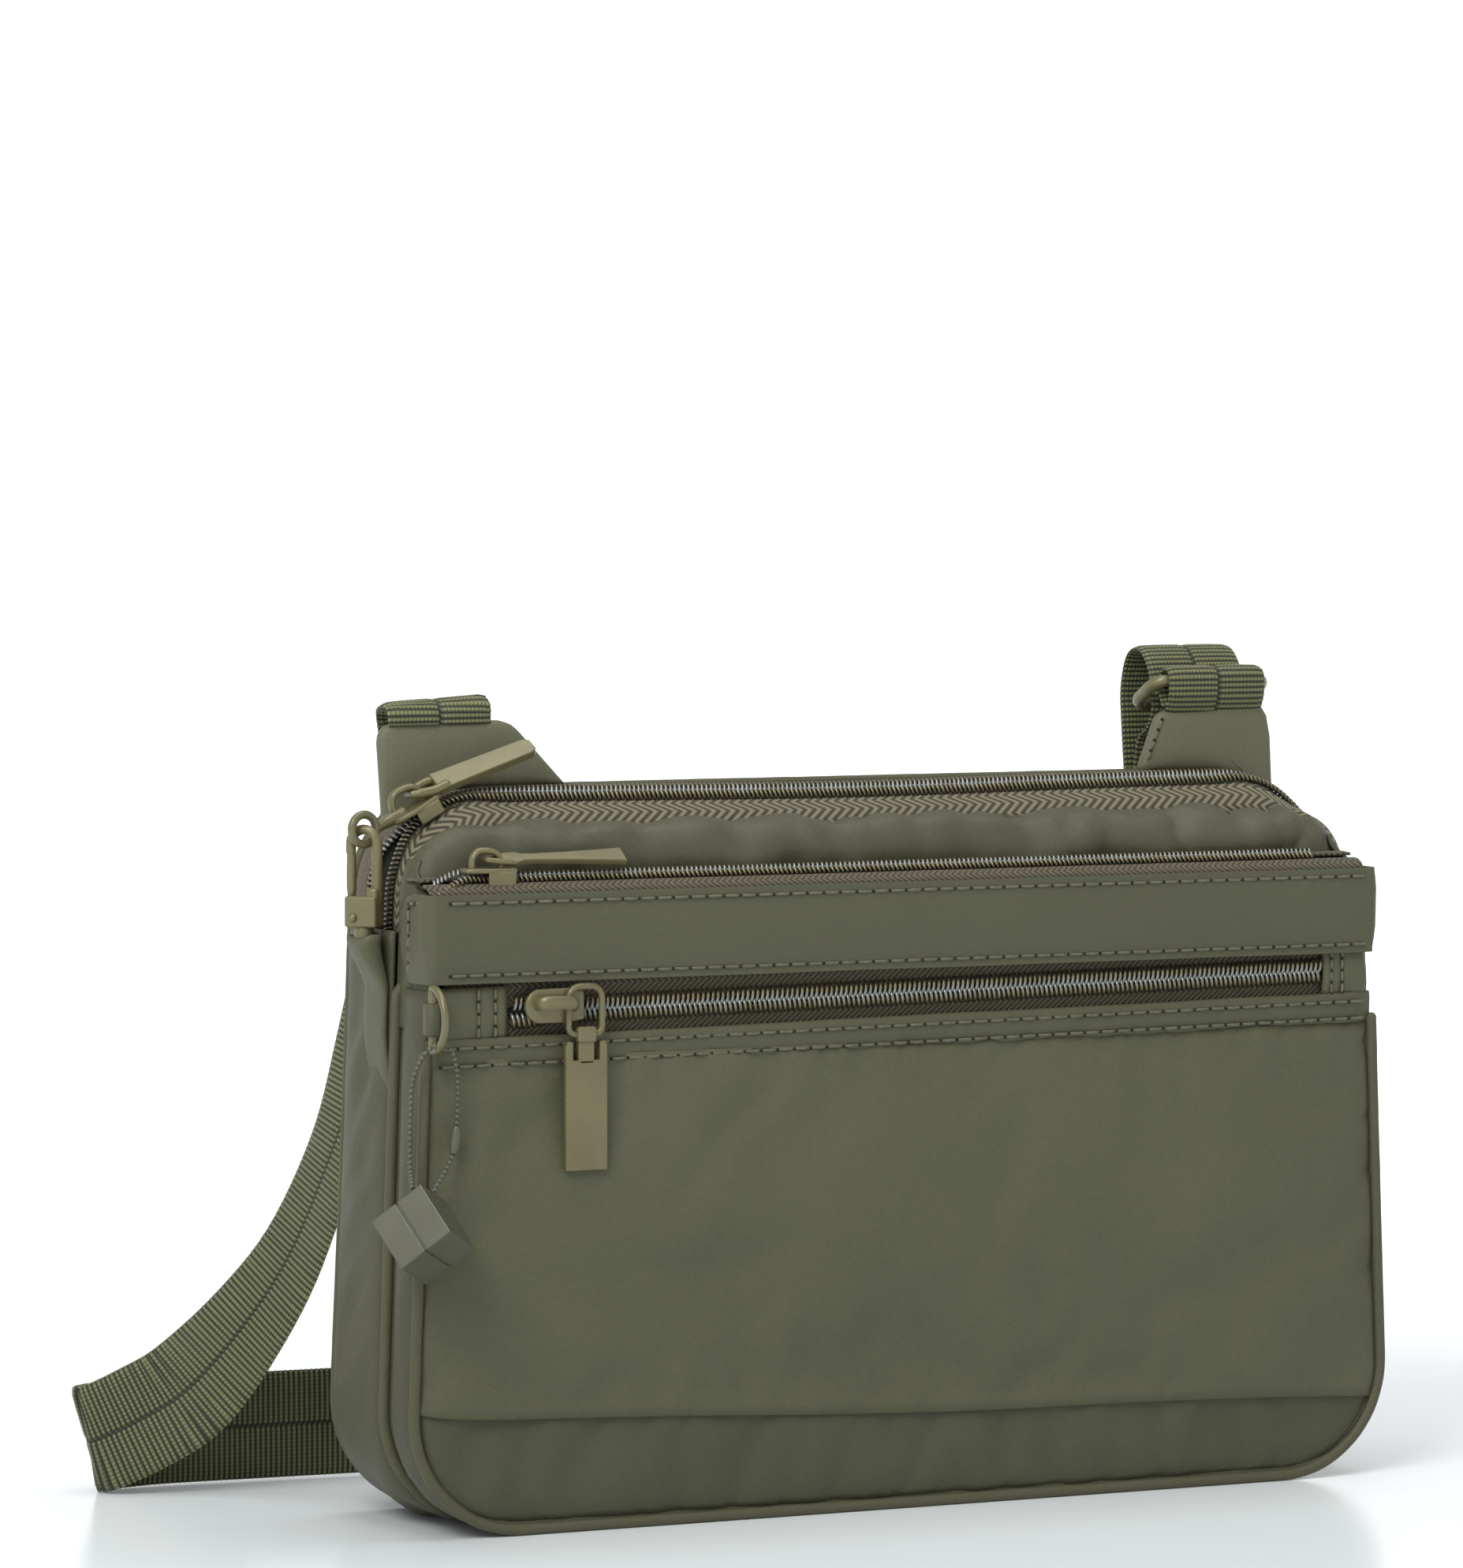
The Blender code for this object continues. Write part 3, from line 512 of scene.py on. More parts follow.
def nylon(name, colour=(0.079, 0.0795, 0.0455), spread=0.16, crease=0.35):
    made = Nodes(name, colour, 0.56, sheen=0.04, specular=0.24)
    place = made.coordinates()
    twill = weave_height(made, 0.75)
    cloud = made.noise(place, 26, 3)
    grain = made.noise(place, 900, 2)
    mixed = made.total((cloud, 0.40), (twill, 0.22), (grain, 0.42))
    made.colour(made.ramp(mixed, (0.25, shade(colour, 1 - spread)), (0.75, shade(colour, 1 + spread))))
    made.roughness(made.math("ADD", made.math("MULTIPLY", grain, 0.16), 0.47))
    normal = made.bump(made.noise(made.stretch(place, (1, 1, 0.6)), 34, 3, 0.45), crease, 1.2)
    normal = made.bump(grain, 0.34, 0.25, normal)
    made.bump(twill, 0.26, 0.12, normal)
    return made.material


def herringbone(name, light, dark, pitch, rows):
    """Chevron tape."""
    made = Nodes(name, light, 0.72, sheen=0.15, specular=0.25)
    across, along = made.across_along()
    zigzag = made.math("PINGPONG", across, rows)
    slanted = made.math("ADD", along, made.math("MULTIPLY", zigzag, 1.1))
    wave = made.wave("SINE", made.math("MULTIPLY", slanted, 2 * math.pi / pitch))
    fuzz = made.noise(made.coordinates(), 700, 2)
    height = made.total((wave, 0.8), (fuzz, 0.2))
    made.colour(made.ramp(height, (0.2, dark), (0.8, light)))
    normal = made.bump(height, 0.8, 0.35)
    made.bump(fuzz, 0.3, 0.15, normal)
    return made.material


def webbing_look(name, light, dark):
    """Ribbed webbing with beaded ribs; painted shade darkens the troughs between ribs and beads and the
    groove down its middle.
    """
    made = Nodes(name, light, 0.62, sheen=0.15, specular=0.3)
    across, along = made.across_along()
    rib = made.wave("COSINE", made.math("MULTIPLY", along, 2 * math.pi / RIB))
    bead = made.wave("COSINE", made.math("MULTIPLY", across, 2 * math.pi / BEAD))
    beads = made.math("MULTIPLY", rib, bead)
    cloud = made.noise(made.coordinates(), 60, 2)
    value = made.total((rib, 0.52), (beads, 0.40), (cloud, 0.14))
    # The groove down the middle is darkened: painted shade.
    groove_shade = made.math("COMPARE", across, WEB_WIDTH / 2, 0.42)
    value = made.math("SUBTRACT", value, made.math("MULTIPLY", groove_shade, 0.45))
    # The dark end of the ramp, in the troughs between ribs and beads, is painted shade.
    made.colour(made.ramp(value, (0.12, dark), (0.5, shade(light, 0.55)), (0.9, light)))
    made.bump(beads, 0.7, 0.3)
    return made.material


def lacquer(name, colour=(0.130, 0.117, 0.052), roughness=0.38):
    made = Nodes(name, colour, roughness, metallic=0.25, specular=0.5)
    place = made.coordinates()
    cloud = made.noise(place, 90, 3)
    speck = made.noise(place, 1400, 2)
    made.colour(made.ramp(cloud, (0.3, shade(colour, 0.88)), (0.7, shade(colour, 1.1))))
    made.roughness(made.math("ADD", made.math("MULTIPLY", speck, 0.18), roughness - 0.08))
    made.shader.inputs["Coat Weight"].default_value = 0.2
    made.shader.inputs["Coat Roughness"].default_value = 0.25
    made.bump(speck, 0.05, 0.05)
    return made.material


def teeth_look(name):
    """Metallised coil, brassy in tone, with a painted silver highlight where the rows meet and painted
    shade darkening it towards the tape. reach is 0 to 1 outwards.
    """
    made = Nodes(name, (0.30, 0.30, 0.26), 0.34, metallic=0.7)
    reach = made.add("ShaderNodeAttribute", attribute_name="reach").outputs["Fac"]
    cloud = made.noise(made.coordinates(), 380, 1)
    value = made.math("ADD", reach, made.math("MULTIPLY", made.math("SUBTRACT", cloud, 0.5), 0.5))
    # Silver near the middle is painted highlight, and the darkest brass at the outer end is painted
    # shade.
    made.colour(made.ramp(value, (0.05, (0.31, 0.33, 0.32)), (0.35, (0.23, 0.23, 0.20)),
                          (0.6, (0.165, 0.142, 0.080)), (0.95, (0.075, 0.066, 0.040))))
    made.bump(made.noise(made.coordinates(), 2500, 1), 0.1, 0.05)
    return made.material


def dark_cloth(name):
    made = Nodes(name, (0.022, 0.022, 0.016), 0.85, specular=0.1)
    fuzz = made.noise(made.coordinates(), 800, 2)
    made.colour(made.ramp(fuzz, (0.3, (0.016, 0.016, 0.012)), (0.7, (0.032, 0.031, 0.022))))
    made.bump(fuzz, 0.3, 0.2)
    return made.material


def thread_look(name, colour):
    made = Nodes(name, colour, 0.5, sheen=0.2, specular=0.4)
    twist = made.noise(made.coordinates(), 1800, 2)
    made.colour(made.ramp(twist, (0.3, shade(colour, 0.7)), (0.7, shade(colour, 1.25))))
    made.bump(twist, 0.4, 0.15)
    return made.material


NYLON = nylon("nylon")
NYLON_TOP = nylon("nylon_upper", (0.070, 0.0685, 0.0425), 0.15, 0.5)
# The tabs' nylon is a lighter copy of the same cloth: painted light on the tabs, which face the light.
NYLON_TAB_LIT = nylon("nylon_tab_lit", (0.108, 0.106, 0.066), 0.15, 0.6)
# The side nylon is a darker copy of the same cloth: painted shade on the gusset and the side cheeks.
NYLON_SIDE_SHADED = nylon("nylon_side_shaded", (0.062, 0.0625, 0.036), 0.16, 0.5)
# The strip's nylon is a darker copy of the same cloth: painted shade on the strip set back between the
# pipings.
NYLON_STRIP_SHADED = nylon("nylon_strip_shaded", (0.056, 0.0565, 0.034), 0.16, 0.4)
NYLON_BAND = nylon("nylon_band", (0.073, 0.0735, 0.0425), 0.10, 0.12)
# The bottom panel's nylon is a darker copy of the same cloth: painted shade low on the front, away from
# the light above.
NYLON_BOTTOM_SHADED = nylon("nylon_bottom_shaded", (0.062, 0.0635, 0.0375), 0.14, 0.4)
PIPING = nylon("piping", (0.074, 0.071, 0.042), 0.14, 0.15)
TAPE = herringbone("zip_tape", (0.168, 0.154, 0.100), (0.034, 0.030, 0.017), 2.4, 3.0)
TAPE_FINE = herringbone("zip_tape_fine", (0.105, 0.091, 0.060), (0.040, 0.034, 0.021), 1.5, 2.2)
TEETH = teeth_look("zip_coil")
# The webbing's dark colour is painted shade in its troughs and middle groove.
WEB = webbing_look("webbing", (0.172, 0.180, 0.082), (0.014, 0.015, 0.008))
METAL = lacquer("lacquered_metal")
METAL_CHARM = lacquer("lacquered_charm", (0.078, 0.080, 0.052), 0.42)
# DARK is painted shade on the sheets under the zip coils, and the look of the foam inside.
DARK = dark_cloth("foam_and_zip_shade")
THREAD = thread_look("thread", (0.098, 0.096, 0.058))
# The needle holes' dark cloth is painted shade.
HOLE_SHADE = dark_cloth("needle_hole_shade")


# ---------------------------------------------------------------- cloth


CLOTH_FRAMES = 22
CLOTH_STIFFNESS = 8.0


def edge_pins(count, across, low_rows=1, left_columns=1):
    """Which points of a grid are held: its border, with more rows or columns on two sides."""
    return [j < low_rows or j == count - 1 or i < left_columns or i == across - 1
            for j in range(count) for i in range(across)]


def billow(item, held, grow, cap):
    """Lets a sheet settle as cloth: the held points stay, the rest swells and puckers."""
    rest = np.array([v.co for v in item.data.vertices])
    item.vertex_groups.new(name="pin").add([k for k, pin in enumerate(held) if pin], 1.0, "REPLACE")
    cloth = item.modifiers.new("cloth", "CLOTH")
    values = cloth.settings
    values.quality = 6
    values.mass = 0.15
    values.tension_stiffness = CLOTH_STIFFNESS
    values.compression_stiffness = CLOTH_STIFFNESS
    values.shear_stiffness = CLOTH_STIFFNESS
    values.bending_stiffness = 0.08
    values.vertex_group_mass = "pin"
    values.pin_stiffness = 1.0
    values.shrink_min = -grow
    values.shrink_max = -grow
    values.use_pressure = True
    values.uniform_pressure_force = 0.0
    values.pressure_factor = 1.0
    values.effector_weights.gravity = 0
    cloth.point_cache.frame_start = 1
    cloth.point_cache.frame_end = CLOTH_FRAMES
    scene = bpy.context.scene
    for number in range(1, CLOTH_FRAMES + 1):
        scene.frame_set(number)
    shown = item.evaluated_get(bpy.context.evaluated_depsgraph_get())
    moved = np.array([v.co for v in shown.data.vertices])
    scene.frame_set(1)
    item.modifiers.remove(cloth)
    item.vertex_groups.clear()
    if moved.shape != rest.shape or not np.isfinite(moved).all():
        return
    step = moved - rest
    far = np.linalg.norm(step, axis=1, keepdims=True)
    limit = cap * MM
    step *= limit * np.tanh(far / limit) / np.maximum(far, 1e-9)
    item.data.vertices.foreach_set("co", (rest + step).ravel())
    item.data.update()


# ---------------------------------------------------------------- stitches


THREADS = []
HOLES = []


def stitch(points, out, pitch=STITCH, radius=0.33):
    """Thread from hole to hole along a line, with a dark plug in each hole as painted shade; out is the
    way the cloth faces.
    """
    line = resample(points, pitch)
    for a, b in zip(line, line[1:]):
        path = [a + (b - a) * t + out * (0.33 * math.sin(math.pi * t) - 0.2)
                for t in (0.1, 0.25, 0.5, 0.75, 0.9)]
        THREADS.append(tube_parts(path, [radius * k for k in (0.7, 1, 1.05, 1, 0.7)], 6))
        # A dark plug in each needle hole: painted shade.
        HOLES.append(tube_parts([a - out * 0.3, a + out * 0.06], 0.38, 8))


# ---------------------------------------------------------------- bag body


def rear_y(z):
    """The bag leans: its back is further out at the floor than at the top."""
    return 26.3 - 2.2 * ease(z, 0, 110)


def outward(path):
    """The outward normal in XZ at each point of a path that runs left, down and right."""
    made = []
    for i in range(len(path)):
        a = Vector(path[max(0, i - 1)])
        b = Vector(path[min(len(path) - 1, i + 1)])
        d = (b - a).normalized()
        made.append(Vector((d.y, -d.x)))
    return made


def even(path, step):
    """An XZ path with its points spaced evenly."""
    return [(p.x, p.y) for p in resample([V(x, z, 0) for x, z in path], step)]


def main_gusset():
    path = even(lower_path(0.5, 133), 3.0)
    rows = []
    for (x, z), n in zip(path, outward(path)):
        on_floor = ease(z, 0.2, 3.0)
        row = []
        for i in range(15):
            t = i / 14
            y = mix(rear_y(z) - 1.6, MIDDLE_Y + 1.4, t)
            belly = math.sin(math.pi * t)
            fold = ripple(x * 0.6 + y, z * 1.4 + y * 1.2, 13, 3.1)
            out = (0.5 + 1.5 * fold) * belly * on_floor - 0.9 * (1 - belly) ** 4
            row.append(V(x + n.x * out, y, max(0.02, z + n.y * out)))
        rows.append(row)
    item = thicken(grid("gusset_cloth", rows), 0.9)
    finish(item, "bag", NYLON_SIDE_SHADED, "nylon", "main_gusset")


def back_cloth():
    """The padded back, crowned a little between its edges."""
    count, across, inset = 34, 54, 2.4

    def place(down, share):
        z = mix(2.6, HEIGHT - 2.6, down)
        rise = z - (HEIGHT - TOP_R)
        limit = side_limit(z, inset)
        if rise > 0:
            limit = HALF_TOP - TOP_R + math.sqrt(max(0.1, (TOP_R - inset) ** 2 - rise * rise))
        t = -1 + 2 * share
        edge = min(1 - abs(t), 2 * min(down, 1 - down))
        y = rear_y(z) - 1.2 + 1.0 * (1 - math.exp(-edge * 14))
        y += 0.35 * ripple(t * 60, z, 24, 7.7) * min(1, edge * 6)
        return V(t * limit, y, z)

    item = grid("back_cloth", place_rows(count, across, place))
    billow(item, edge_pins(count, across), 0.006, 0.8)
    thicken(item, 2.0, 1.0)
    finish(item, "bag", NYLON, "nylon", "back_panel")
    line = resample([V(-86, 0, 116), V(86, 0, 116)], 4)
    stitch([V(p.x, rear_y(p.z) - 0.35, p.z) for p in line], V(0, 1, 0))


def piping(name, y_at, path, radius, node, closed=False):
    """Bias tape round a cord; y_at gives its depth at each height."""
    points = resample([V(x, y_at(z), z) for x, z in path], 2.0)
    radii = [radius * (1 + 0.05 * ripple(i * 3.0, y_at(0), 7, 1.5)) for i in range(len(points))]
    if closed:
        points, radii = points[:-1], radii[:-1]
    item = merge(name, [tube_parts(points, radii, 12, closed)])
    finish(item, "bag", PIPING, "piping", node)


def pipings():
    whole = [*lower_path(1.25, 82), *reversed(upper_path(1.25, 82)[1:-1])]
    whole.append(whole[0])
    piping("rear_piping_cloth", lambda z: rear_y(z) - 1.1, whole, 1.25, "rear_piping", True)
    side = half_width(119)
    path = [(-side + 2.6, 120.6), (-side + 1.4, 119.6), *lower_path(1.3, 117),
            (side - 1.4, 119.6), (side - 2.6, 120.6)]
    piping("middle_piping_cloth", lambda z: MIDDLE_Y, path, 1.35, "middle_piping")
    piping("front_piping_cloth", lambda z: FRONT_Y + 1.2, lower_path(1.25, 107), 1.25,
           "front_piping")


def front_gusset():
    """The narrow strip between the two pipings, set back into a dark groove at its rear, in a darker
    copy of the nylon that is painted shade.
    """
    path = even(lower_path(0.6, 121.0), 3.0)
    profile = [(-3.4, 2.6), (-6.4, 2.3), (-8.6, 2.0), (-9.6, 1.2), (-11.4, 0.7), (-14, 0.6),
               (-16.5, 0.9), (-18.8, 1.4), (-20.6, 2.4)]
    rows = []
    for (x, z), n in zip(path, outward(path)):
        row = []
        for y, inset in profile:
            fold = 0.7 * ripple(x + y * 2, z * 1.5, 9, 5.2) * ease(-y, 9, 12)
            depth = inset - fold * ease(z, 1, 6)
            row.append(V(x - n.x * depth, y, z - n.y * depth))
        rows.append(row)
    item = thicken(grid("front_gusset_cloth", rows), 0.9)
    finish(item, "bag", NYLON_STRIP_SHADED, "nylon", "front_gusset")


def seam_z(x):
    """The slanting seam on the front, higher on the left."""
    return 22.4 - 0.0325 * x + 2.2 * math.exp(-(x + 121) / 9.0) - 0.5 * math.cos(x / 26.0)


def front_y(x, z, limit):
    """Depth of the front cloth: rolled in at its sides, a little full in the middle."""
    side = limit - abs(x)
    roll = 1.9 * math.exp(-side / 3.2)
    floor_roll = 1.6 * math.exp(-max(0.0, z - 2.7) / 3.0)
    full = 0.35 * math.cos(x / limit * math.pi / 2)
    return FRONT_Y + roll + floor_roll - full


def front_panel():
    """The big pocket panel, which ends in a soft fold over the bottom panel."""
    count, across, top = 36, 96, 106.0

    def place(t, share):
        u = -1 + 2 * share
        low = seam_z(u * 120)
        z = mix(low, top, t)
        limit = side_limit(z, PANEL_INSET)
        x = u * limit
        inside_edge = limit - abs(x)
        y = front_y(x, z, limit)
        y -= 0.55 * math.exp(-(z - low) / 5.0) + 0.9 * math.sin(math.pi * t) * ease(inside_edge, 0, 30)
        wrinkle = ripple(x * 0.8, z * 1.1, 26, 9.1) + 0.5 * ripple(x, z * 0.9, 11, 2.4)
        y += 0.42 * wrinkle * ease(inside_edge, 0, 14)
        y += 0.5 * ripple(x * 2.2, z * 0.5, 9, 6.6) * math.exp(-(top - z) / 7.0)
        y -= 0.5 * math.exp(-((x + 103 + 0.12 * (top - z)) / 4.5) ** 2) * ease(z, 60, 100)
        return V(x, y, z)

    rows = place_rows(count, across, place)
    tuck = [V(p.x, p.y + 1.5, p.z + 0.9) for p in rows[0]]
    bend = [V(p.x, p.y + 0.55, p.z - 0.25) for p in rows[0]]
    item = grid("pocket_cloth", [tuck, bend, *rows])
    billow(item, edge_pins(count + 2, across, low_rows=3), 0.010, 0.9)
    thicken(item, 0.9)
    finish(item, "bag", NYLON, "nylon", "front_pocket_panel", "pocket_backing")


def bottom_panel():
    count, across = 13, 84

    def place(t, share):
        u = -1 + 2 * share
        z = mix(2.4, seam_z(u * 120) + 3.0, t)
        limit = side_limit(z, PANEL_INSET)
        x = u * limit
        pleat = 1.7 * ripple(x * 1.3, z * 0.35, 10, 4.4)
        y = front_y(x, z, limit) + 0.55
        y += 0.55 * pleat * math.sin(math.pi * min(1, t + 0.1)) + 0.5 * ease(t, 0.75, 1.0)
        return V(x, y, z)

    item = grid("bottom_cloth", place_rows(count, across, place))
    billow(item, edge_pins(count, across), 0.012, 0.9)
    thicken(item, 0.9)
    finish(item, "bag", NYLON_BOTTOM_SHADED, "nylon", "front_bottom_panel")


def hem():
    """The pocket's folded upper edge, with its two rows of stitches."""
    profile = [(104.6, 0.25), (105.2, -0.35), (107.5, -0.5), (110.2, -0.55), (111.3, -0.35),
               (111.75, 0.15), (111.4, 0.9), (108, 1.2)]
    across = 110
    limit = side_limit(106, PANEL_INSET)
    rows = []
    for z, dy in profile:
        row = []
        for i in range(across):
            x = (-1 + 2 * i / (across - 1)) * limit
            lift = HEM_SLOPE * x + 0.3 * ripple(x, 0, 22, 3.3)
            quilt = 0.3 * ripple(x, z, 4.0, 8.2)
            roll = 1.9 * math.exp(-(limit - abs(x)) / 3.0)
            row.append(V(x, FRONT_Y + dy + roll + quilt, z + lift))
        rows.append(row)
    finish(grid("hem_cloth", rows), "bag", NYLON_BAND, "nylon", "front_lower_band")
    for z in (105.7, 109.6):
        line = [V(x, FRONT_Y - 0.66, z + HEM_SLOPE * x) for x in range(-116, 117, 2)]
        stitch(line, V(0, -1, 0))


def band():
    """The smooth doubled band, which turns round both front corners."""
    low, high = 122.4, 142.0
    side = HALF_TOP + 0.2
    corner = 2.4
    plan = [(-side, -11.0), (-side, -15.0),
            *arc((-side + corner, BAND_Y + corner), corner, 180, 270, 7),
            *[(x, BAND_Y) for x in range(-110, 111, 6)],
            *arc((side - corner, BAND_Y + corner), corner, 270, 360, 7),
            (side, -15.0), (side, -9.5)]
    rows = []
    for h in (0.0, 0.02, 0.07, 0.15, 0.3, 0.45, 0.6, 0.75, 0.88, 0.95, 0.985, 1.0):
        z = mix(low, high, h)
        swell = 0.45 * math.sin(math.pi * h)
        press = 0.35 * (math.exp(-((h - 0.09) / 0.03) ** 2) + math.exp(-((h - 0.91) / 0.03) ** 2))
        row = []
        for k, (x, y) in enumerate(plan):
            end = 1.0 if k in (0, len(plan) - 1) else 0.0
            wave = 0.22 * ripple(x, z, 30, 6.1) + 0.16 * ripple(x, z, 4, 1.1) * abs(2 * h - 1) ** 3
            edge_y = end * (2.2 * math.sin(math.pi * h) - 3.0 * (h > 0.97))
            facing = 1.0 if abs(x) < side - 1 else 0.0
            bulge = 0.3 * math.sin(math.pi * h) + 0.8 * ripple(y, z, 6, 7.0)
            outside = (1 - facing) * bulge * (1 if x > 0 else -1)
            row.append(V(x + outside, y - facing * (swell - press + wave) + edge_y,
                         z + 0.25 * ripple(x, 0, 40, 2.0)))
        rows.append(row)
    item = thicken(grid("band_cloth", rows), 1.3)
    round_edges(item, 0.45)
    finish(item, "bag", NYLON_BAND, "nylon", "front_band")
    for z in (124.3, 140.1):
        stitch([V(x, BAND_Y - 0.18, z) for x in range(-114, 117, 2)], V(0, -1, 0))
    left = [V(-side - 0.12, -13.2, z) for z in (138.6, 134, 130, 126, 123.8)]
    stitch(left, V(-1, 0, 0), pitch=2.9)
    stitch([V(-side - 0.12, -13.2, 139.6), V(-side - 0.12, -17.5, 140.0),
            V(-117.6, BAND_Y + 0.6, 140.2)], V(-0.8, -0.6, 0), pitch=3.0)


# Puckers of the upper panel: where along X, how wide, how deep
PUCKERS = [(-96, 3, 0.7), (-78, 4, 0.5), (-61, 3, 0.8), (-38, 3, 0.6), (-13, 4, 1.5), (-3, 2, 0.9),
           (7, 3, 1.4), (19, 4, 1.0), (36, 4, 0.8), (55, 3, 0.7), (74, 4, 0.9), (90, 3, 1.3),
           (100, 2, 1.5), (108, 2, 1.2)]


def upper_front():
    """The full strip above the front zip, puckered where it is sewn to the zip tape."""
    top, radius, half = 155.2, 15.5, 116.2
    across = half - radius
    outline = [(-half, 138.0), *arc((-across, top - radius), radius, 180, 90, 14),
               *[(x, top) for x in range(-96, 97, 4)],
               *arc((across, top - radius), radius, 90, 0, 14), (half, 138.0)]
    outline = even(outline, 2.6)
    # how far in from the outline, and the depth there
    profile = [(0.2, -3.4), (-0.5, -5.0), (-0.1, -6.6), (1.0, -8.6), (2.6, -10.2), (4.6, -11.2),
               (7.0, -11.6), (9.6, -11.0), (12.0, -10.0), (14.5, -9.0), (17.0, -8.4)]
    rows = []
    for (x, z), n in zip(outline, outward(outline)):
        n = -n
        pucker = 0.8 * ripple(x, z, 9, 1.2)
        pucker += sum(d * math.exp(-((x - c) / w) ** 2) for c, w, d in PUCKERS)
        tuck = 0.9 * ripple(x, 3, 14, 5.5) + 0.8 * pucker
        row = []
        for k, (inset, y) in enumerate(profile):
            fade = math.exp(-max(0, inset) / 4.0)
            y_now = y + (1.8 * pucker + 0.5 * tuck) * fade * min(1, k / 2)
            y_now += 0.9 * ripple(x * 0.7, z + inset * 2, 18, 2.8) * ease(inset, 1, 6)
            drop = 1.35 * tuck * math.exp(-max(0, inset) / 1.8)
            row.append(V(x - n.x * (inset + drop), y_now, z - n.y * (inset + drop)))
        rows.append(row)
    item = grid("upper_cloth", rows)
    billow(item, edge_pins(len(rows), len(profile), left_columns=2), 0.05, 1.6)
    thicken(item, 0.8, 1.0)
    finish(item, "bag", NYLON_TOP, "nylon", "upper_front_panel", "main_front_wall")


def side_cheeks():
    """On each side, the cloth between the band's end and the middle piping."""
    for sign, name in ((-1, "left_cheek"), (1, "right_cheek")):

        def place(down, t):
            z = mix(112.0, 149.0, down)
            y = mix(-2.2, mix(-20.5, -9.0, ease(z, 140, 147)), t)
            belly = math.sin(math.pi * min(1, t * 1.05))
            out = 0.9 * belly * (1 + ripple(y * 2.0, z * 0.8, 9, sign * 2.0))
            return V(sign * (half_width(z) - 1.9 + out - 2.2 * ease(z, 142, 150)), y, z)

        item = thicken(grid(name, place_rows(16, 12, place)), 0.9, sign)
        finish(item, "bag", NYLON_SIDE_SHADED, "nylon")


# ---------------------------------------------------------------- zips


# One tooth: how far out and how high, for a half width of 1
TOOTH_SIDES = 6
TOOTH = ((0.0, 0.05), (0.14, 0.5), (0.38, 0.80), (0.66, 0.74), (0.9, 0.35), (1.0, -0.1))


def tooth_parts(origin, along, across, up, half, pitch, wire, lean, side):
    """One tooth of a coil: a bent wire from the middle of the zip out to its edge."""
    path = [origin + across * (side * half * (t - 0.14)) + along * (lean * pitch * t * t)
            + up * (h * half * 0.40) for t, h in TOOTH]
    return tube_parts(path, wire, TOOTH_SIDES, caps=False)


def coil(name, route, pitch, half, wire, lean, split, node):
    """Both rows of a coil zip along a route of (centre, across, up); split parts the rows."""
    centres = [Vector(c) for c, _, _ in route]
    total = lengths(centres)
    parts = []
    for k in range(int(total[-1] / pitch)):
        s = (k + 0.5) * pitch
        i, share = spot(total, s)
        centre = centres[i].lerp(centres[i + 1], share)
        along = (centres[i + 1] - centres[i]).normalized()
        across = Vector(route[i][1]).lerp(Vector(route[i + 1][1]), share).normalized()
        up = Vector(route[i][2]).lerp(Vector(route[i + 1][2]), share).normalized()
        for side in (-1, 1):
            offset = along * (pitch / 2 if side > 0 else 0)
            parts.append(tooth_parts(centre + offset + across * split(s, side), along, across, up,
                                     half, pitch, wire, lean, side))
    item = merge(name, parts)
    reach = item.data.attributes.new("reach", "FLOAT", "POINT")
    one = [t for t, _ in TOOTH for _ in range(TOOTH_SIDES)]
    reach.data.foreach_set("value", one * len(parts))
    finish(item, "bag", TEETH, "zip_teeth", node)


def tape(name, edges, look, *nodes):
    """A tape between lines of points; edges go across it."""
    rows = [[edge[i] for edge in edges] for i in range(len(edges[0]))]
    finish(thicken(grid(name, rows), 0.7), "bag", look, "zip_tape", *nodes)


def zip_tilt(x):
    """How far the main zip leans towards the front: most on the straight."""
    return math.radians(mix(6, 40, ease(104 - abs(x), 0, 16)))


def main_route():
    """Centre line of the main zip with its across and up directions."""
    path = even(upper_path(1.2, 132.5), 2.0)
    route = []
    for (x, z), n in zip(path, outward(path)):
        n = -n
        out = V(n.x, 0, n.y)
        tilt = zip_tilt(x)
        back = V(0, 1, 0)
        up = out * math.cos(tilt) - back * math.sin(tilt)
        across = back * math.cos(tilt) + out * math.sin(tilt)
        sag = -1.0 * math.exp(-((x + 5) / 60) ** 2)
        wide = 1.4 * ease(x, 110, 118)
        route.append((V(x + wide, 4.9, z + sag), across, up))
    return route


def main_split(s, side):
    """Beyond the slider, at the left end, the two rows part."""
    return (1 - ease(s, 14.0, 27.0)) * (4.8 if side > 0 else -1.8)


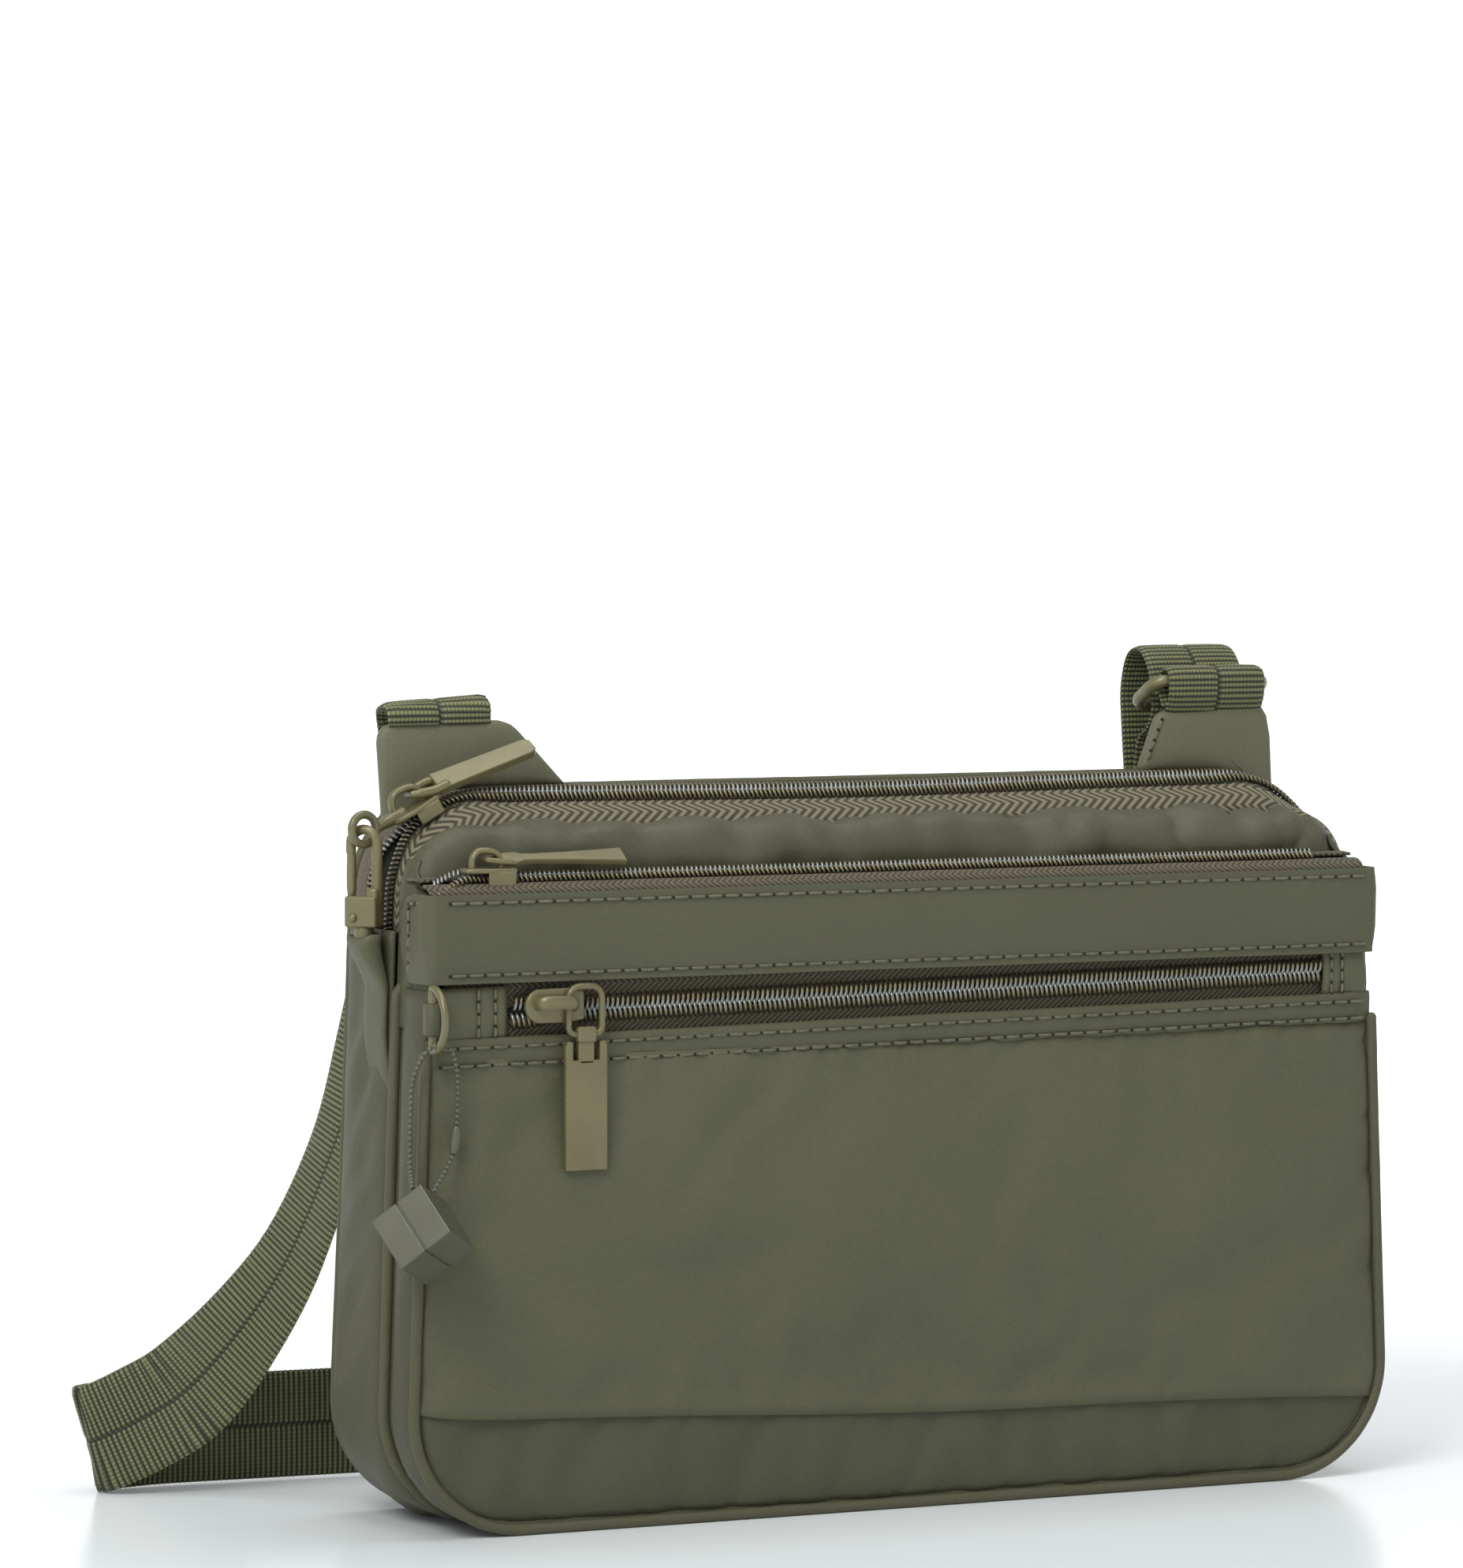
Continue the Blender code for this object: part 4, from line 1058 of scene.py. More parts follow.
def main_zip():
    route = main_route()
    coil("main_zip_coil", route, 1.12, 2.8, 0.34, 0.45, main_split, "main_zip_teeth")
    front_edges = [[], [], [], [], []]
    rear_edges = [[], [], [], []]
    shade_edges = [[], []]
    for (centre, across, up), s in zip(route, lengths([c for c, _, _ in route])):
        x, z = centre.x, centre.z
        split_front, split_rear = main_split(s, -1), main_split(s, 1)
        inner = centre + across * (-1.4 + split_front) - up * 0.55
        out = V(up.x, 0, up.z).normalized()
        inset = mix(2.6, 8.4, ease(z, 141, 160))
        low = V(x, 0, z) - out * inset
        low.y = -4.6 - 1.6 * ease(x, 96, 112)
        for k, edge in enumerate(front_edges):
            t = k / 4
            bow = math.sin(math.pi * t) * (1.1 + 2.9 * ease(x, 107, 117))
            edge.append(inner.lerp(low, t) + out * bow - V(0, bow * 0.5, 0))
        start = centre + across * (1.4 + split_rear) - up * 0.55
        end = V(x, rear_y(z) - 1.2, z) - out * 0.9
        for k, edge in enumerate(rear_edges):
            t = k / 3
            edge.append(start.lerp(end, t) + out * (0.5 * math.sin(math.pi * t)))
        # A dark sheet under the coil: painted shade between the rows and the tapes.
        shade_edges[0].append(centre + across * (-3.2 + split_front) - up * 1.6)
        shade_edges[1].append(centre + across * (3.2 + split_rear) - up * 1.6)
    tape("main_front_tape", front_edges, TAPE, "main_zip_front_tape")
    tape("main_rear_tape", rear_edges, TAPE_FINE, "main_zip_rear_tape")
    tape("main_zip_shade_sheet", shade_edges, DARK)


def front_zip():
    y, z = -17.2, 145.1
    centre = [V(x, y, z) for x in np.arange(-97, 106.1, 2.0)]
    lead = [V(-116.5, -19.9, 142.6), V(-113.0, -18.6, 144.0), V(-108.5, -17.6, 145.6),
            V(-103.0, -17.2, 145.2)]
    route = [(c, V(0, 0.87, 0.5), V(0, -0.5, 0.87))
             for c in [*smooth(lead + [centre[0]], 3), *centre[1:]]]
    coil("front_zip_coil", route, 1.15, 2.2, 0.34, 0.45,
         lambda s, side: side * 1.3 * (1 - ease(s, 3, 15)), "front_zip_teeth")
    xs = list(np.arange(-118, 116.1, 3.0))
    lift = [0.12 * ripple(x, 1, 12, 3.0) for x in xs]
    front = [[V(x, -22.5, 140.8 + k * 2) for x, k in zip(xs, lift)],
             [V(x, -21.2, 142.6 + k * 2) for x, k in zip(xs, lift)],
             [V(x, -19.6, 143.3 + k) for x, k in zip(xs, lift)],
             [V(x, -17.9, 143.4) for x in xs]]
    rear = [[V(x, *p) for x in xs] for p in ((-16.4, 144.4), (-12.5, 144.6), (-8.2, 144.2))]
    tape("front_zip_front_tape", front, TAPE_FINE, "front_zip_tape")
    tape("front_zip_rear_tape", rear, TAPE_FINE)
    # A dark sheet under the coil: painted shade between the rows and the tapes.
    tape("front_zip_shade_sheet", [[V(x, shade_y, 143.0) for x in xs] for shade_y in (-19.5, -14.0)], DARK)


def pocket_zip_z(x):
    return 116.9 + HEM_SLOPE * x


def pocket_zip():
    y = -21.1
    route = [(V(x, y, pocket_zip_z(x)), V(0, 0, 1), V(0, -1, 0)) for x in np.arange(-99, 106.1, 3.0)]
    coil("pocket_zip_coil", route, 1.22, 3.2, 0.37, 0.5,
         lambda s, side: side * 0.9 * (1 - ease(s, 2, 12)), "pocket_zip_teeth")
    wide = list(np.arange(-114, 114.1, 3.0))

    def lines(y_now, *rises):
        return [[V(x, y_now, pocket_zip_z(x) + d) for x in wide] for d in rises]

    tape("pocket_lower_tape", lines(y + 1.6, -7.6, -5.0, -2.6, -1.0), TAPE_FINE, "pocket_zip_tape")
    tape("pocket_upper_tape", lines(y + 1.6, 1.0, 2.6, 5.0, 7.6), TAPE_FINE)
    # A dark sheet under the coil: painted shade between the rows and the tapes.
    tape("pocket_zip_shade_sheet", lines(y + 2.2, -2, 2), DARK)
    stop("stop_left", -116.5, -99.5, "pocket_zip_stop_left", (-106.6, -102.6))
    stop("stop_right", 105.6, 117.2, "pocket_zip_stop_right", (107.8, 110.6))


def stop(name, left, right, node, seams):
    """A folded cloth end over the zip."""

    def place(t, u):
        x = mix(left, right, u)
        z = pocket_zip_z(x) + mix(-5.9, 5.9, t)
        dip = sum(math.exp(-((x - s) / 0.7) ** 2) for s in seams)
        y = -22.1 + 0.45 * dip + 0.5 * ripple(x, z, 5, 3.0) - 0.3 * math.sin(math.pi * t)
        return V(x, y + 0.8 * math.exp(-min(x - left, right - x) / 0.5), z)

    item = thicken(grid(name, place_rows(9, 18, place)), 0.9)
    finish(item, "bag", NYLON, "nylon", node)
    for x in seams:
        stitch([V(x, -22.2, pocket_zip_z(x) + d) for d in (-5.5, -2, 2, 5.5)], V(0, -1, 0),
               pitch=2.6)


# ---------------------------------------------------------------- sliders and pulls


def metal(item, body, *nodes, look=METAL):
    finish(item, body, look, "lacquered_metal", *nodes)


def slider_shape(half_length, half_across, thick, crown, crown_radius):
    """A coil slider: wedge-nosed top plate, side flanges and a round crown along X."""
    nose = arc((-half_length + half_across * 0.8, 0), half_across * 0.8, 115, 245, 10)
    outline = [*nose, (0, -half_across), (half_length, -half_across * 0.82),
               (half_length, half_across * 0.82), (0, half_across)]
    pieces = [put(plate("top", outline, thick, 0.4), (0, 0, thick / 2))]
    for side in (-1, 1):
        pieces.append(block("flange", (half_length * 1.05, 0.9, 3.2),
                            (half_length * 0.42, side * (half_across * 0.86), -1.2), 0.35))
    half, top_z = crown
    path = smooth([V(-half, 0, thick * 0.5), V(-half * 0.98, 0, top_z * 0.62),
                   V(-half * 0.6, 0, top_z * 0.97), V(half * 0.1, 0, top_z),
                   V(half * 0.72, 0, top_z * 0.86), V(half, 0, top_z * 0.5),
                   V(half, 0, thick * 0.5)], 5)
    pieces.append(rod("arch", path, crown_radius, 12, widen=1.35))
    return pieces


def pull_shape(name, outline, thick, roll, prong, radii, pin_half, pin_radius):
    """A flat bar rolled about X, two prongs that curve in to a pin, and the pin along Y."""
    bar = plate("bar", outline, thick, 0.3)
    bar.data.transform(Matrix.Rotation(roll, 4, "X"))
    prongs = [rod("prong", smooth([V(x, side * y, side * z) for x, y, z in prong], 4), radii, 10)
              for side in (-1, 1)]
    pin = rod("pin", [V(0, -pin_half, 0), V(0, pin_half, 0)], pin_radius, 10)
    return combine(name, [bar, *prongs, pin])


def main_slider():
    tilt = math.radians(30)
    place = V(-110.9, 5, 158.7)
    pieces = slider_shape(5.8, 4.6, 1.2, (3.7, 5.7), 0.85)
    matrix = Euler((0, -tilt, 0)).to_matrix()
    local = matrix.inverted() @ (V(-124.4, 0.4, 155.4) - place)
    across = matrix.inverted() @ V(0.966, 0.259, 0)
    upright = matrix.inverted() @ V(0, 0, 1)
    ring = [local + across * (3.3 * math.cos(a)) + upright * (3.3 * math.sin(a))
            for a in (2 * math.pi * i / 36 for i in range(36))]
    pieces.append(rod("eye", ring, 0.95, 12, closed=True))
    neck = smooth([local + across * 3.4, V(-7.4, -1.3, 1.7), V(-4.4, -0.2, 1.2), V(-2.4, 0, 0.8)], 4)
    pieces.append(rod("neck", neck, [1.0 + 0.09 * i for i in range(len(neck))], 12))
    metal(put(combine("main_slider_body", pieces), place, (0, -tilt, 0)), "main_slider", "main_slider")
    roll = math.radians(34)
    outline = [(6.2, -2.9), (29.5, -2.5), (30.6, -2.1), (31.2, -1.4), (31.2, 1.4), (30.6, 2.1),
               (29.5, 2.5), (6.2, 2.9)]
    prong = [(8.2, 1.9, math.sin(roll)), (5.0, 2.0, 0.8), (1.6, 1.9, 0.3), (0.0, 1.4, 0)]
    pull = pull_shape("main_pull_bar", outline, 2.0, roll, prong, [1.15] * 9 + [0.95] * 4, 1.7, 0.75)
    put(pull, place + matrix @ V(1.5, 0, 3.7), (0, math.radians(-18.8), 0))
    metal(pull, "main_pull", "main_pull")


def front_slider():
    item = combine("front_slider_body", slider_shape(6.2, 3.7, 1.1, (3.4, 4.9), 0.75))
    metal(put(item, (-102.6, -17, 146.2)), "front_slider", "front_slider")
    edge = [(3.6, 1.5), (5.5, 1.75), (7.2, 1.9), (8.6, 1.25), (12, 1.2), (20, 1.5), (27, 1.95),
            (33, 2.45)]
    outline = [(x, -y) for x, y in edge] + edge[::-1]
    prong = [(6.5, 1.2, 0.7), (3.0, 1.5, 0.4), (0.0, 1.2, 0)]
    pull = pull_shape("front_pull_bar", outline, 1.5, math.radians(32), prong, 0.7, 1.4, 0.65)
    metal(put(pull, (-102.6, -17, 149.1)), "front_pull", "front_pull")


def pocket_slider():
    turn = (math.pi / 2, 0, 0)
    outline = [*arc((-3.3, 0), 3.9, 105, 255, 14), (3.2, -3.9), (6.6, -3.3), (6.9, -2.8),
               (6.9, 2.8), (6.6, 3.3), (3.2, 3.9)]
    top = put(plate("top", outline, 1.5, 0.5), (0, 0, 0.75))
    tongue = smooth([V(-4.6, 0.3, 0.9), V(-4.4, 0.4, 3.3), V(-2.6, 0.5, 4.4), V(0.5, 0.5, 4.6),
                     V(3.0, 0.4, 4.2), V(4.3, 0.2, 2.6), V(4.4, 0, 0.9)], 4)
    item = combine("pocket_slider_body", [top, rod("arch", tongue, 0.8, 12, widen=1.9)])
    metal(put(item, (-89, -22.8, 117), turn), "pocket_slider", "pocket_slider")
    low, high, wide = -6.4, 4.2, 8.0
    corners = [*arc((1.6, low + 1.6), 1.6, 180, 270, 4), *arc((wide - 1.6, low + 1.6), 1.6, 270, 360, 4),
               *arc((wide - 2.6, high - 2.6), 2.6, 0, 90, 6), *arc((2.6, high - 2.6), 2.6, 90, 180, 6)]
    loop = closed_loop([V(x, 0, z) for x, z in corners], 0.9)
    ring = rod("pocket_link_ring", loop, 0.75, 12, closed=True)
    metal(put(ring, (-86.4, -25.2, 117)), "pocket_link", "pocket_link")
    body = [(-5, -30), (5, -30), (5, -2.4), (4.4, -1.4), (3.2, -1.6), (3.2, -5.6), (-3.2, -5.6),
            (-3.2, -1.6), (-4.4, -1.4), (-5, -2.4)]
    flat = put(plate("flat", body, 1.7, 0.3), (0, 0, 0), turn)
    lug = block("lug", (4.6, 2.6, 3.6), (0, -0.2, 0), 0.7)
    stem = block("stem", (3.8, 1.7, 6.0), (0, 0, -3.6), 0.4)
    pull = put(combine("pocket_pull_plate", [flat, lug, stem]), (-82.4, -25.2, 110.6))
    metal(pull, "pocket_pull", "pocket_pull")


# ---------------------------------------------------------------- snap hook, D-ring, charm


def snap_hook():
    turn = (0, 0, math.radians(-45))
    base = block("base", (7.6, 5.2, 7.0), (0, 0, 2.3), 0.7)
    x, top = 3.1, 20.4
    wire = smooth([V(x - 0.2, 0, 4.5), V(x, 0, 8), V(x, 0, 12), V(x, 0, top - x - 1)], 4)
    wire += [V(a, 0, b) for a, b in arc((0, top - x), x, 8, 180, 16)]
    wire.append(V(-x, 0, top - x - 1.8))
    body = rod("body", wire, [1.25] * 13 + [1.12] * (len(wire) - 13), 14)
    rim = block("rim", (2.9, 4.2, 3.4), (2.5, 0, 6.0), 0.9)
    item = put(combine("snap_hook_body", [base, rim, body]), HOOK_AT, turn)
    metal(item, "snap_hook", "snap_hook")
    side = x - 0.1
    low = V(*HOOK_AT) + V(-side * math.cos(turn[2]), -side * math.sin(turn[2]), 6.6)
    gate = rod("hook_gate_bar", [V(0, 0, z) for z in (-1.2, 1, 4, 8.3)], [0.85, 1.1, 1.1, 1.0], 12)
    metal(put(gate, low, turn), "hook_gate", "hook_gate")
    rivet = rod("hook_rivet", [V(-1.6, -2.75, 1.0), V(-1.6, -2.2, 1.0)], 1.0, 14)
    metal(put(rivet, HOOK_AT, turn), "snap_hook")
    stud = rod("hook_stud_round", [V(0, 0, -4.6), V(0, 0, -1.5)], [2.5, 2.1], 18)
    metal(put(stud, HOOK_AT), "bag", "hook_stud")


def hook_loop():
    """The cloth tab that the stud stands in, open at the top like a small pocket."""
    rows = []
    for j in range(26):
        z = mix(88.0, 132.6, j / 25)
        open_up = ease(z, 119, 131)
        sunk = mix(-half_width(z) + 2.2, -half_width(z) - 0.9, ease(z, 90, 112))
        centre_x = mix(sunk, -124.2, open_up)
        deep = mix(0.9, 2.9, open_up)
        ring = []
        for i in range(28):
            a = 2 * math.pi * i / 28
            side = math.copysign(abs(math.cos(a)) ** mix(0.4, 0.8, open_up), math.cos(a))
            along = math.copysign(abs(math.sin(a)) ** 0.55, math.sin(a))
            wrinkle = 0.3 * ripple(along * 6, z, 6, 2.2) * (1 - open_up)
            lip = 0.25 * math.sin(3 * a) * open_up
            ring.append(V(centre_x + (deep + wrinkle) * side, 2.4 - 1.2 * open_up + 5.4 * along,
                          z - 0.9 * ease(z, 128, 132.6) * (1 - math.cos(a)) * 0.5 + lip))
        rows.append(ring)
    item = thicken(grid("hook_loop_cloth", rows, closed=True), 0.8)
    finish(item, "bag", NYLON, "piping", "hook_loop")


def d_ring():
    turn = math.radians(-87)
    half, reach = 7.0, 6.6
    bow = [(reach * math.sin(math.radians(a)), half * math.cos(math.radians(a)))
           for a in range(14, 167, 8)]
    points = [(0, half), *bow, (0, -half), (0, -2), (0, 2)]
    loop = closed_loop([V(x * math.cos(turn), x * math.sin(turn), z) for x, z in points], 1.0)
    metal(put(rod("d_ring_rod", loop, 0.88, 12, closed=True), D_RING_AT), "d_ring", "d_ring")
    rows = []
    for z in (-3.6, -3.2, 0, 3.2, 3.6):
        ring = []
        for i in range(18):
            a = 2 * math.pi * i / 18
            r = 1.8 if abs(z) < 3.5 else 1.5
            behind = 2.0 * max(0, math.sin(a))
            ring.append(V(*D_RING_AT) + V(0.9 * r * math.cos(a), r * math.sin(a) + behind, z))
        rows.append(ring)
    sleeve = thicken(grid("ring_sleeve_cloth", rows, closed=True), 0.8)
    finish(sleeve, "bag", PIPING, "piping", "ring_sleeve")


def bead_parts(centre, radius):
    work = bmesh.new()
    bmesh.ops.create_icosphere(work, subdivisions=2, radius=radius)
    parts = ([v.co + centre for v in work.verts], [tuple(v.index for v in f.verts) for f in work.faces])
    work.free()
    return parts


def chain():
    cube_at = V(-123.8, -31.8, 69)
    top = cube_at + V(0.5, 1.5, 10.9)
    pivot = V(*D_RING_AT) + V(0.2, -3.6, -5.6)
    points = [top + V(-2.2, 0.5, -0.6), V(-123.6, -24, 84), V(-123.2, -23.5, 95),
              V(-122.8, -24.0, 102), V(-121.2, -26.0, 107.4), V(-119.4, -27.2, 109.4), pivot,
              V(-116.6, -27.9, 109.6), V(-114.6, -27.6, 106.8), V(-113.3, -26.4, 101),
              V(-113.2, -25.4, 92), V(-114.4, -25.6, 85), top + V(3.4, 1.2, -1.6)]
    line = resample(smooth(points, 8), 1.32)
    parts = [tube_parts(pair, 0.22, 5, caps=False) for pair in zip(line, line[1:])]
    parts += [bead_parts(p, 0.62) for p in line]
    first = int(len(line) * 0.79) - 1
    parts.append(tube_parts(line[first:first + 5], [0.85, 1.15, 1.2, 1.15, 0.85], 10))
    metal(merge("bead_chain", parts), "charm", "charm_chain", look=METAL_CHARM)
    turn = [math.radians(a) for a in (-117.7, -37.8, -30)]
    size = 13.6
    halves = [block("half", (size / 2 - 0.2, size, size), (side * (size / 4 + 0.1), 0, 0), 0.3)
              for side in (1, -1)]
    core = block("core", (2, size - 0.8, size - 0.8), (0, 0, 0), 0.2)
    cube = put(combine("charm_block", [*halves, core]), cube_at, turn)
    metal(cube, "charm", "charm_cube", look=METAL_CHARM)


# ---------------------------------------------------------------- tabs and webbing


def tab(name, outline, node, seams):
    """A padded cloth tab with rounded edges, seen from the front."""
    ring = closed_loop([V(x, 0, z) for x, z in outline], 1.6)
    centre = sum(ring, V(0, 0, 0)) / len(ring)
    rows = []
    profile = [(1.0, 17.45), (1.0, 16.8), (1.0, 15.9), (0.975, 15.25), (0.93, 14.9), (0.8, 14.6),
               (0.6, 14.45), (0.35, 14.4), (0.12, 14.4), (0.0, 14.4)]
    for scale, y in profile:
        inner = [centre + (p - centre) * scale for p in ring]
        rows.append([V(q.x, y + 0.5 * ripple(q.x, q.z, 9, 2.2) * (1 - scale), q.z) for q in inner])
    back = [centre + (p - centre) * 0.02 for p in ring]
    rows.insert(0, [V(q.x, 17.45, q.z) for q in back])
    finish(grid(name, rows, closed=True), "bag", NYLON_TAB_LIT, "nylon", node)
    for line in seams:
        stitch([V(x, 14.8, z) for x, z in line], V(0, -1, 0), pitch=2.6, radius=0.22)


def tabs():
    corner = arc((95, 139.6), 23.9, 40, 90, 6)
    left = [(-69.2, 163.5), *[(-x, z) for x, z in reversed(corner)], (-114.6, 174.6),
            (-113.6, 176.8), (-111.8, 177.9), (-85, 178.2), (-82, 177.0), (-79.6, 174.6)]
    right = [(77.5, 163.5), *reversed(corner), (112.6, 171), (111.6, 176.0), (109.6, 178.8),
             (106, 179.2), (84.5, 177.4), (82.4, 176.4)]
    tab("left_tab_cloth", left, "left_strap_tab", [])
    tab("right_tab_cloth", right, "right_strap_tab", [[(83.2, 175.4), (79.2, 165.8)]])


WEB_COLUMNS = (-1, -0.97, -0.86, -0.6, -0.35, -0.12, -0.025, 0.025, 0.12, 0.35, 0.6, 0.86, 0.97, 1)


def webbing(name, route, *, steps=6, width=WEB_WIDTH, thick=WEB_THICK):
    """Ribbed webbing along a route of (centre, width direction), as a closed strip."""
    centres = smooth([V(*c) for c, _ in route], steps)
    widths = smooth([V(*w).normalized() for _, w in route], steps)
    total = lengths(centres)
    count = int(total[-1] / (RIB / 4))
    section = [(side, t) for side in (1, -1) for t in WEB_COLUMNS]
    points = []
    uvs = []
    for k in range(count + 1):
        s = total[-1] * k / count
        i, share = spot(total, s)
        centre = centres[i].lerp(centres[i + 1], share)
        w = widths[i].lerp(widths[i + 1], share).normalized()
        tangent = (centres[min(i + 2, len(centres) - 1)] - centres[max(i - 1, 0)]).normalized()
        w = (w - tangent * w.dot(tangent)).normalized()
        n = tangent.cross(w)
        for side, t in section:
            offset = t * side
            late = 0 if offset < 0 else 0.5
            rib = 0.5 + 0.5 * math.cos(2 * math.pi * (s / RIB + late))
            groove = math.exp(-(offset * 12.5 / 0.5) ** 2)
            edge = 1 - abs(offset) ** 14
            high = (thick / 2 - 0.2 + 0.30 * rib - 0.28 * groove) * edge + 0.05
            wide = width / 2 - 0.12 * (1 - rib)
            points.append(centre + w * (offset * wide) + n * (side * high))
            uvs.append(((t + 1) * width / 2, s + late * RIB))
    return mesh_object(name, points, tube_faces(count + 1, len(section)), uvs)


# The strap from the left tab to the doubled stretch: centre and width direction
STRAP_ROUTE = [
    ((-100.2, 15.0, 177.6), (1, 0, 0.02)), ((-100.2, 15.2, 180.2), (1, 0, 0.05)),
    ((-100.1, 16.8, 182.0), (1, 0, 0.07)), ((-100.0, 20.0, 182.4), (1, 0, 0.05)),
    ((-98.4, 25.0, 180.0), (1, 0, 0)), ((-96.6, 28.4, 172.0), (1, 0, 0)),
    ((-95.4, 30.5, 156.0), (0.99, -0.12, 0)), ((-97.0, 34.0, 138.0), (0.88, -0.46, -0.05)),
    ((-101.6, 38.6, 120.0), (0.5, -0.84, -0.15)), ((-107.6, 42.0, 101.0), (0.15, -0.92, -0.33)),
    ((-113.6, 46.0, 79.0), (0, -0.9, -0.42)), ((-121.4, 53.0, 55.0), (0.1, -0.88, -0.45)),
    ((-131.0, 60.0, 37.5), (0.28, -0.78, -0.56)), ((-142.0, 65.5, 24.0), (0.46, -0.52, -0.72)),
    ((-152.0, 69.5, 17.4), (0.42, -0.3, -0.86)), ((-160.4, 74.2, 12.9), (0.3, -0.16, -0.94)),
    ((-161.4, 77.5, 12.4), (0.27, -0.13, -0.955)), ((-158.5, 80.2, 12.4), (0.22, -0.06, -0.97)),
    ((-143.0, 81.5, 12.7), (0.06, 0, -1)), ((-115.0, 79.5, 12.8), (0, 0, -1)),
    ((-80.0, 77.5, 12.8), (0, 0, -1)), ((-40.0, 77.5, 12.8), (0, 0, -1)),
    ((0.0, 78.0, 12.8), (0, 0, -1)), ((35.0, 76.0, 13.6), (0.1, 0.35, -0.93)),
    ((62.0, 70.5, 20.0), (0.35, 0.75, -0.55)), ((80.0, 61.5, 35.0), (0.62, 0.78, -0.05)),
    ((91.0, 50.5, 55.0), (0.9, 0.4, 0)), ((96.0, 41.0, 74.0), (0.99, 0.12, 0)),
    # the part that goes straight up behind the bag and over the strap ring
    *[((97.0, y, z), (1, 0, 0)) for y, z in (
        (36.4, 90.0), (35.4, 104.0), (35.4, 130.0), (35.8, 155.0), (37.6, 172.0), (38.2, 182.0),
        (35.4, 189.6), (30.2, 191.6), (25.6, 188.4), (23.0, 182.4), (22.9, 176.6), (25.6, 173.0),
        (29.4, 170.6), (31.2, 165.0), (31.6, 158.0))],
]


def straps():
    strap = webbing("strap_webbing", STRAP_ROUTE)
    finish(strap, "bag", WEB, "webbing", "shoulder_strap")
    back = webbing("return_webbing", [((97, 31.6, z), (-1, 0, 0)) for z in (158.2, 145, 130, 114.4)],
                   thick=1.2)
    back.data.materials.append(WEB)
    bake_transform(back)
    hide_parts("strap_return")
    x, y, z = STRAP_RING_AT
    radius = STRAP_RING_WIRE + 0.3 + 0.8
    loop = [(y - 0.4, 177.0), (y - 1.4, 178.6), (y - 2.4, 181.0),
            *[(y + radius * math.cos(math.radians(a)), z + radius * math.sin(math.radians(a)))
              for a in range(190, -11, -25)],
            (y + 2.4, 181.0), (y + 0.9, 178.4)]
    item = webbing("loop_webbing", [((x, *p), (1, 0, 0)) for p in loop], steps=4, width=25.6)
    finish(item, "bag", WEB, "webbing", "right_webbing_loop")


def strap_hardware():
    half = WEB_WIDTH / 2 + 0.8 + STRAP_RING_WIRE
    tilt = math.radians(-28)
    corners = []
    for cx, cy, a in ((-half + 4, 4, 180), (half - 4, 4, 270), (half - 4, 9, 0), (-half + 4, 9, 90)):
        corners += arc((cx, cy), 4, a, a + 90, 6)
    loop = closed_loop([V(x, b * math.cos(tilt), b * math.sin(tilt)) for x, b in corners], 1.2)
    ring = rod("strap_ring_rod", loop, STRAP_RING_WIRE, 14, closed=True)
    metal(put(ring, STRAP_RING_AT), "strap_ring", "strap_ring")
    rail = WEB_WIDTH / 2 + 1.9
    pieces = [block("rail", (2.2, 7.6, 20), (side * rail, 0, 0), 0.9) for side in (-1, 1)]
    for y, z in ((-2.6, 0), (2.9, 8.6), (2.9, -8.6)):
        pieces.append(block("bar", (2 * rail, 1.6, 2.8), (0, y, z), 0.5))
    item = put(combine("adjuster_body", pieces), (97, 34.4, 112))
    metal(item, "strap_adjuster", "strap_adjuster")


# ---------------------------------------------------------------- inside


def inside():
    """The pieces inside the bag keep their CAD shape and get cloth or foam looks."""
    for node, look in (("back_foam", DARK), ("slip_pocket", TAPE_FINE), ("main_front_wall", NYLON),
                       ("pocket_backing", NYLON)):
        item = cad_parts[node]
        item.data.materials.clear()
        item.data.materials.append(look)


# ---------------------------------------------------------------- room


LIGHT_AIM = Vector((0, 0, 0.1))


def area_light(name, place, size, power, colour=(1, 1, 1)):
    data = bpy.data.lights.new(name, "AREA")
    data.shape = "RECTANGLE"
    data.size, data.size_y = size
    data.energy = power
    data.color = colour
    item = link(name, data)
    item.location = place
    item.rotation_euler = (LIGHT_AIM - Vector(place)).to_track_quat("-Z", "Y").to_euler()


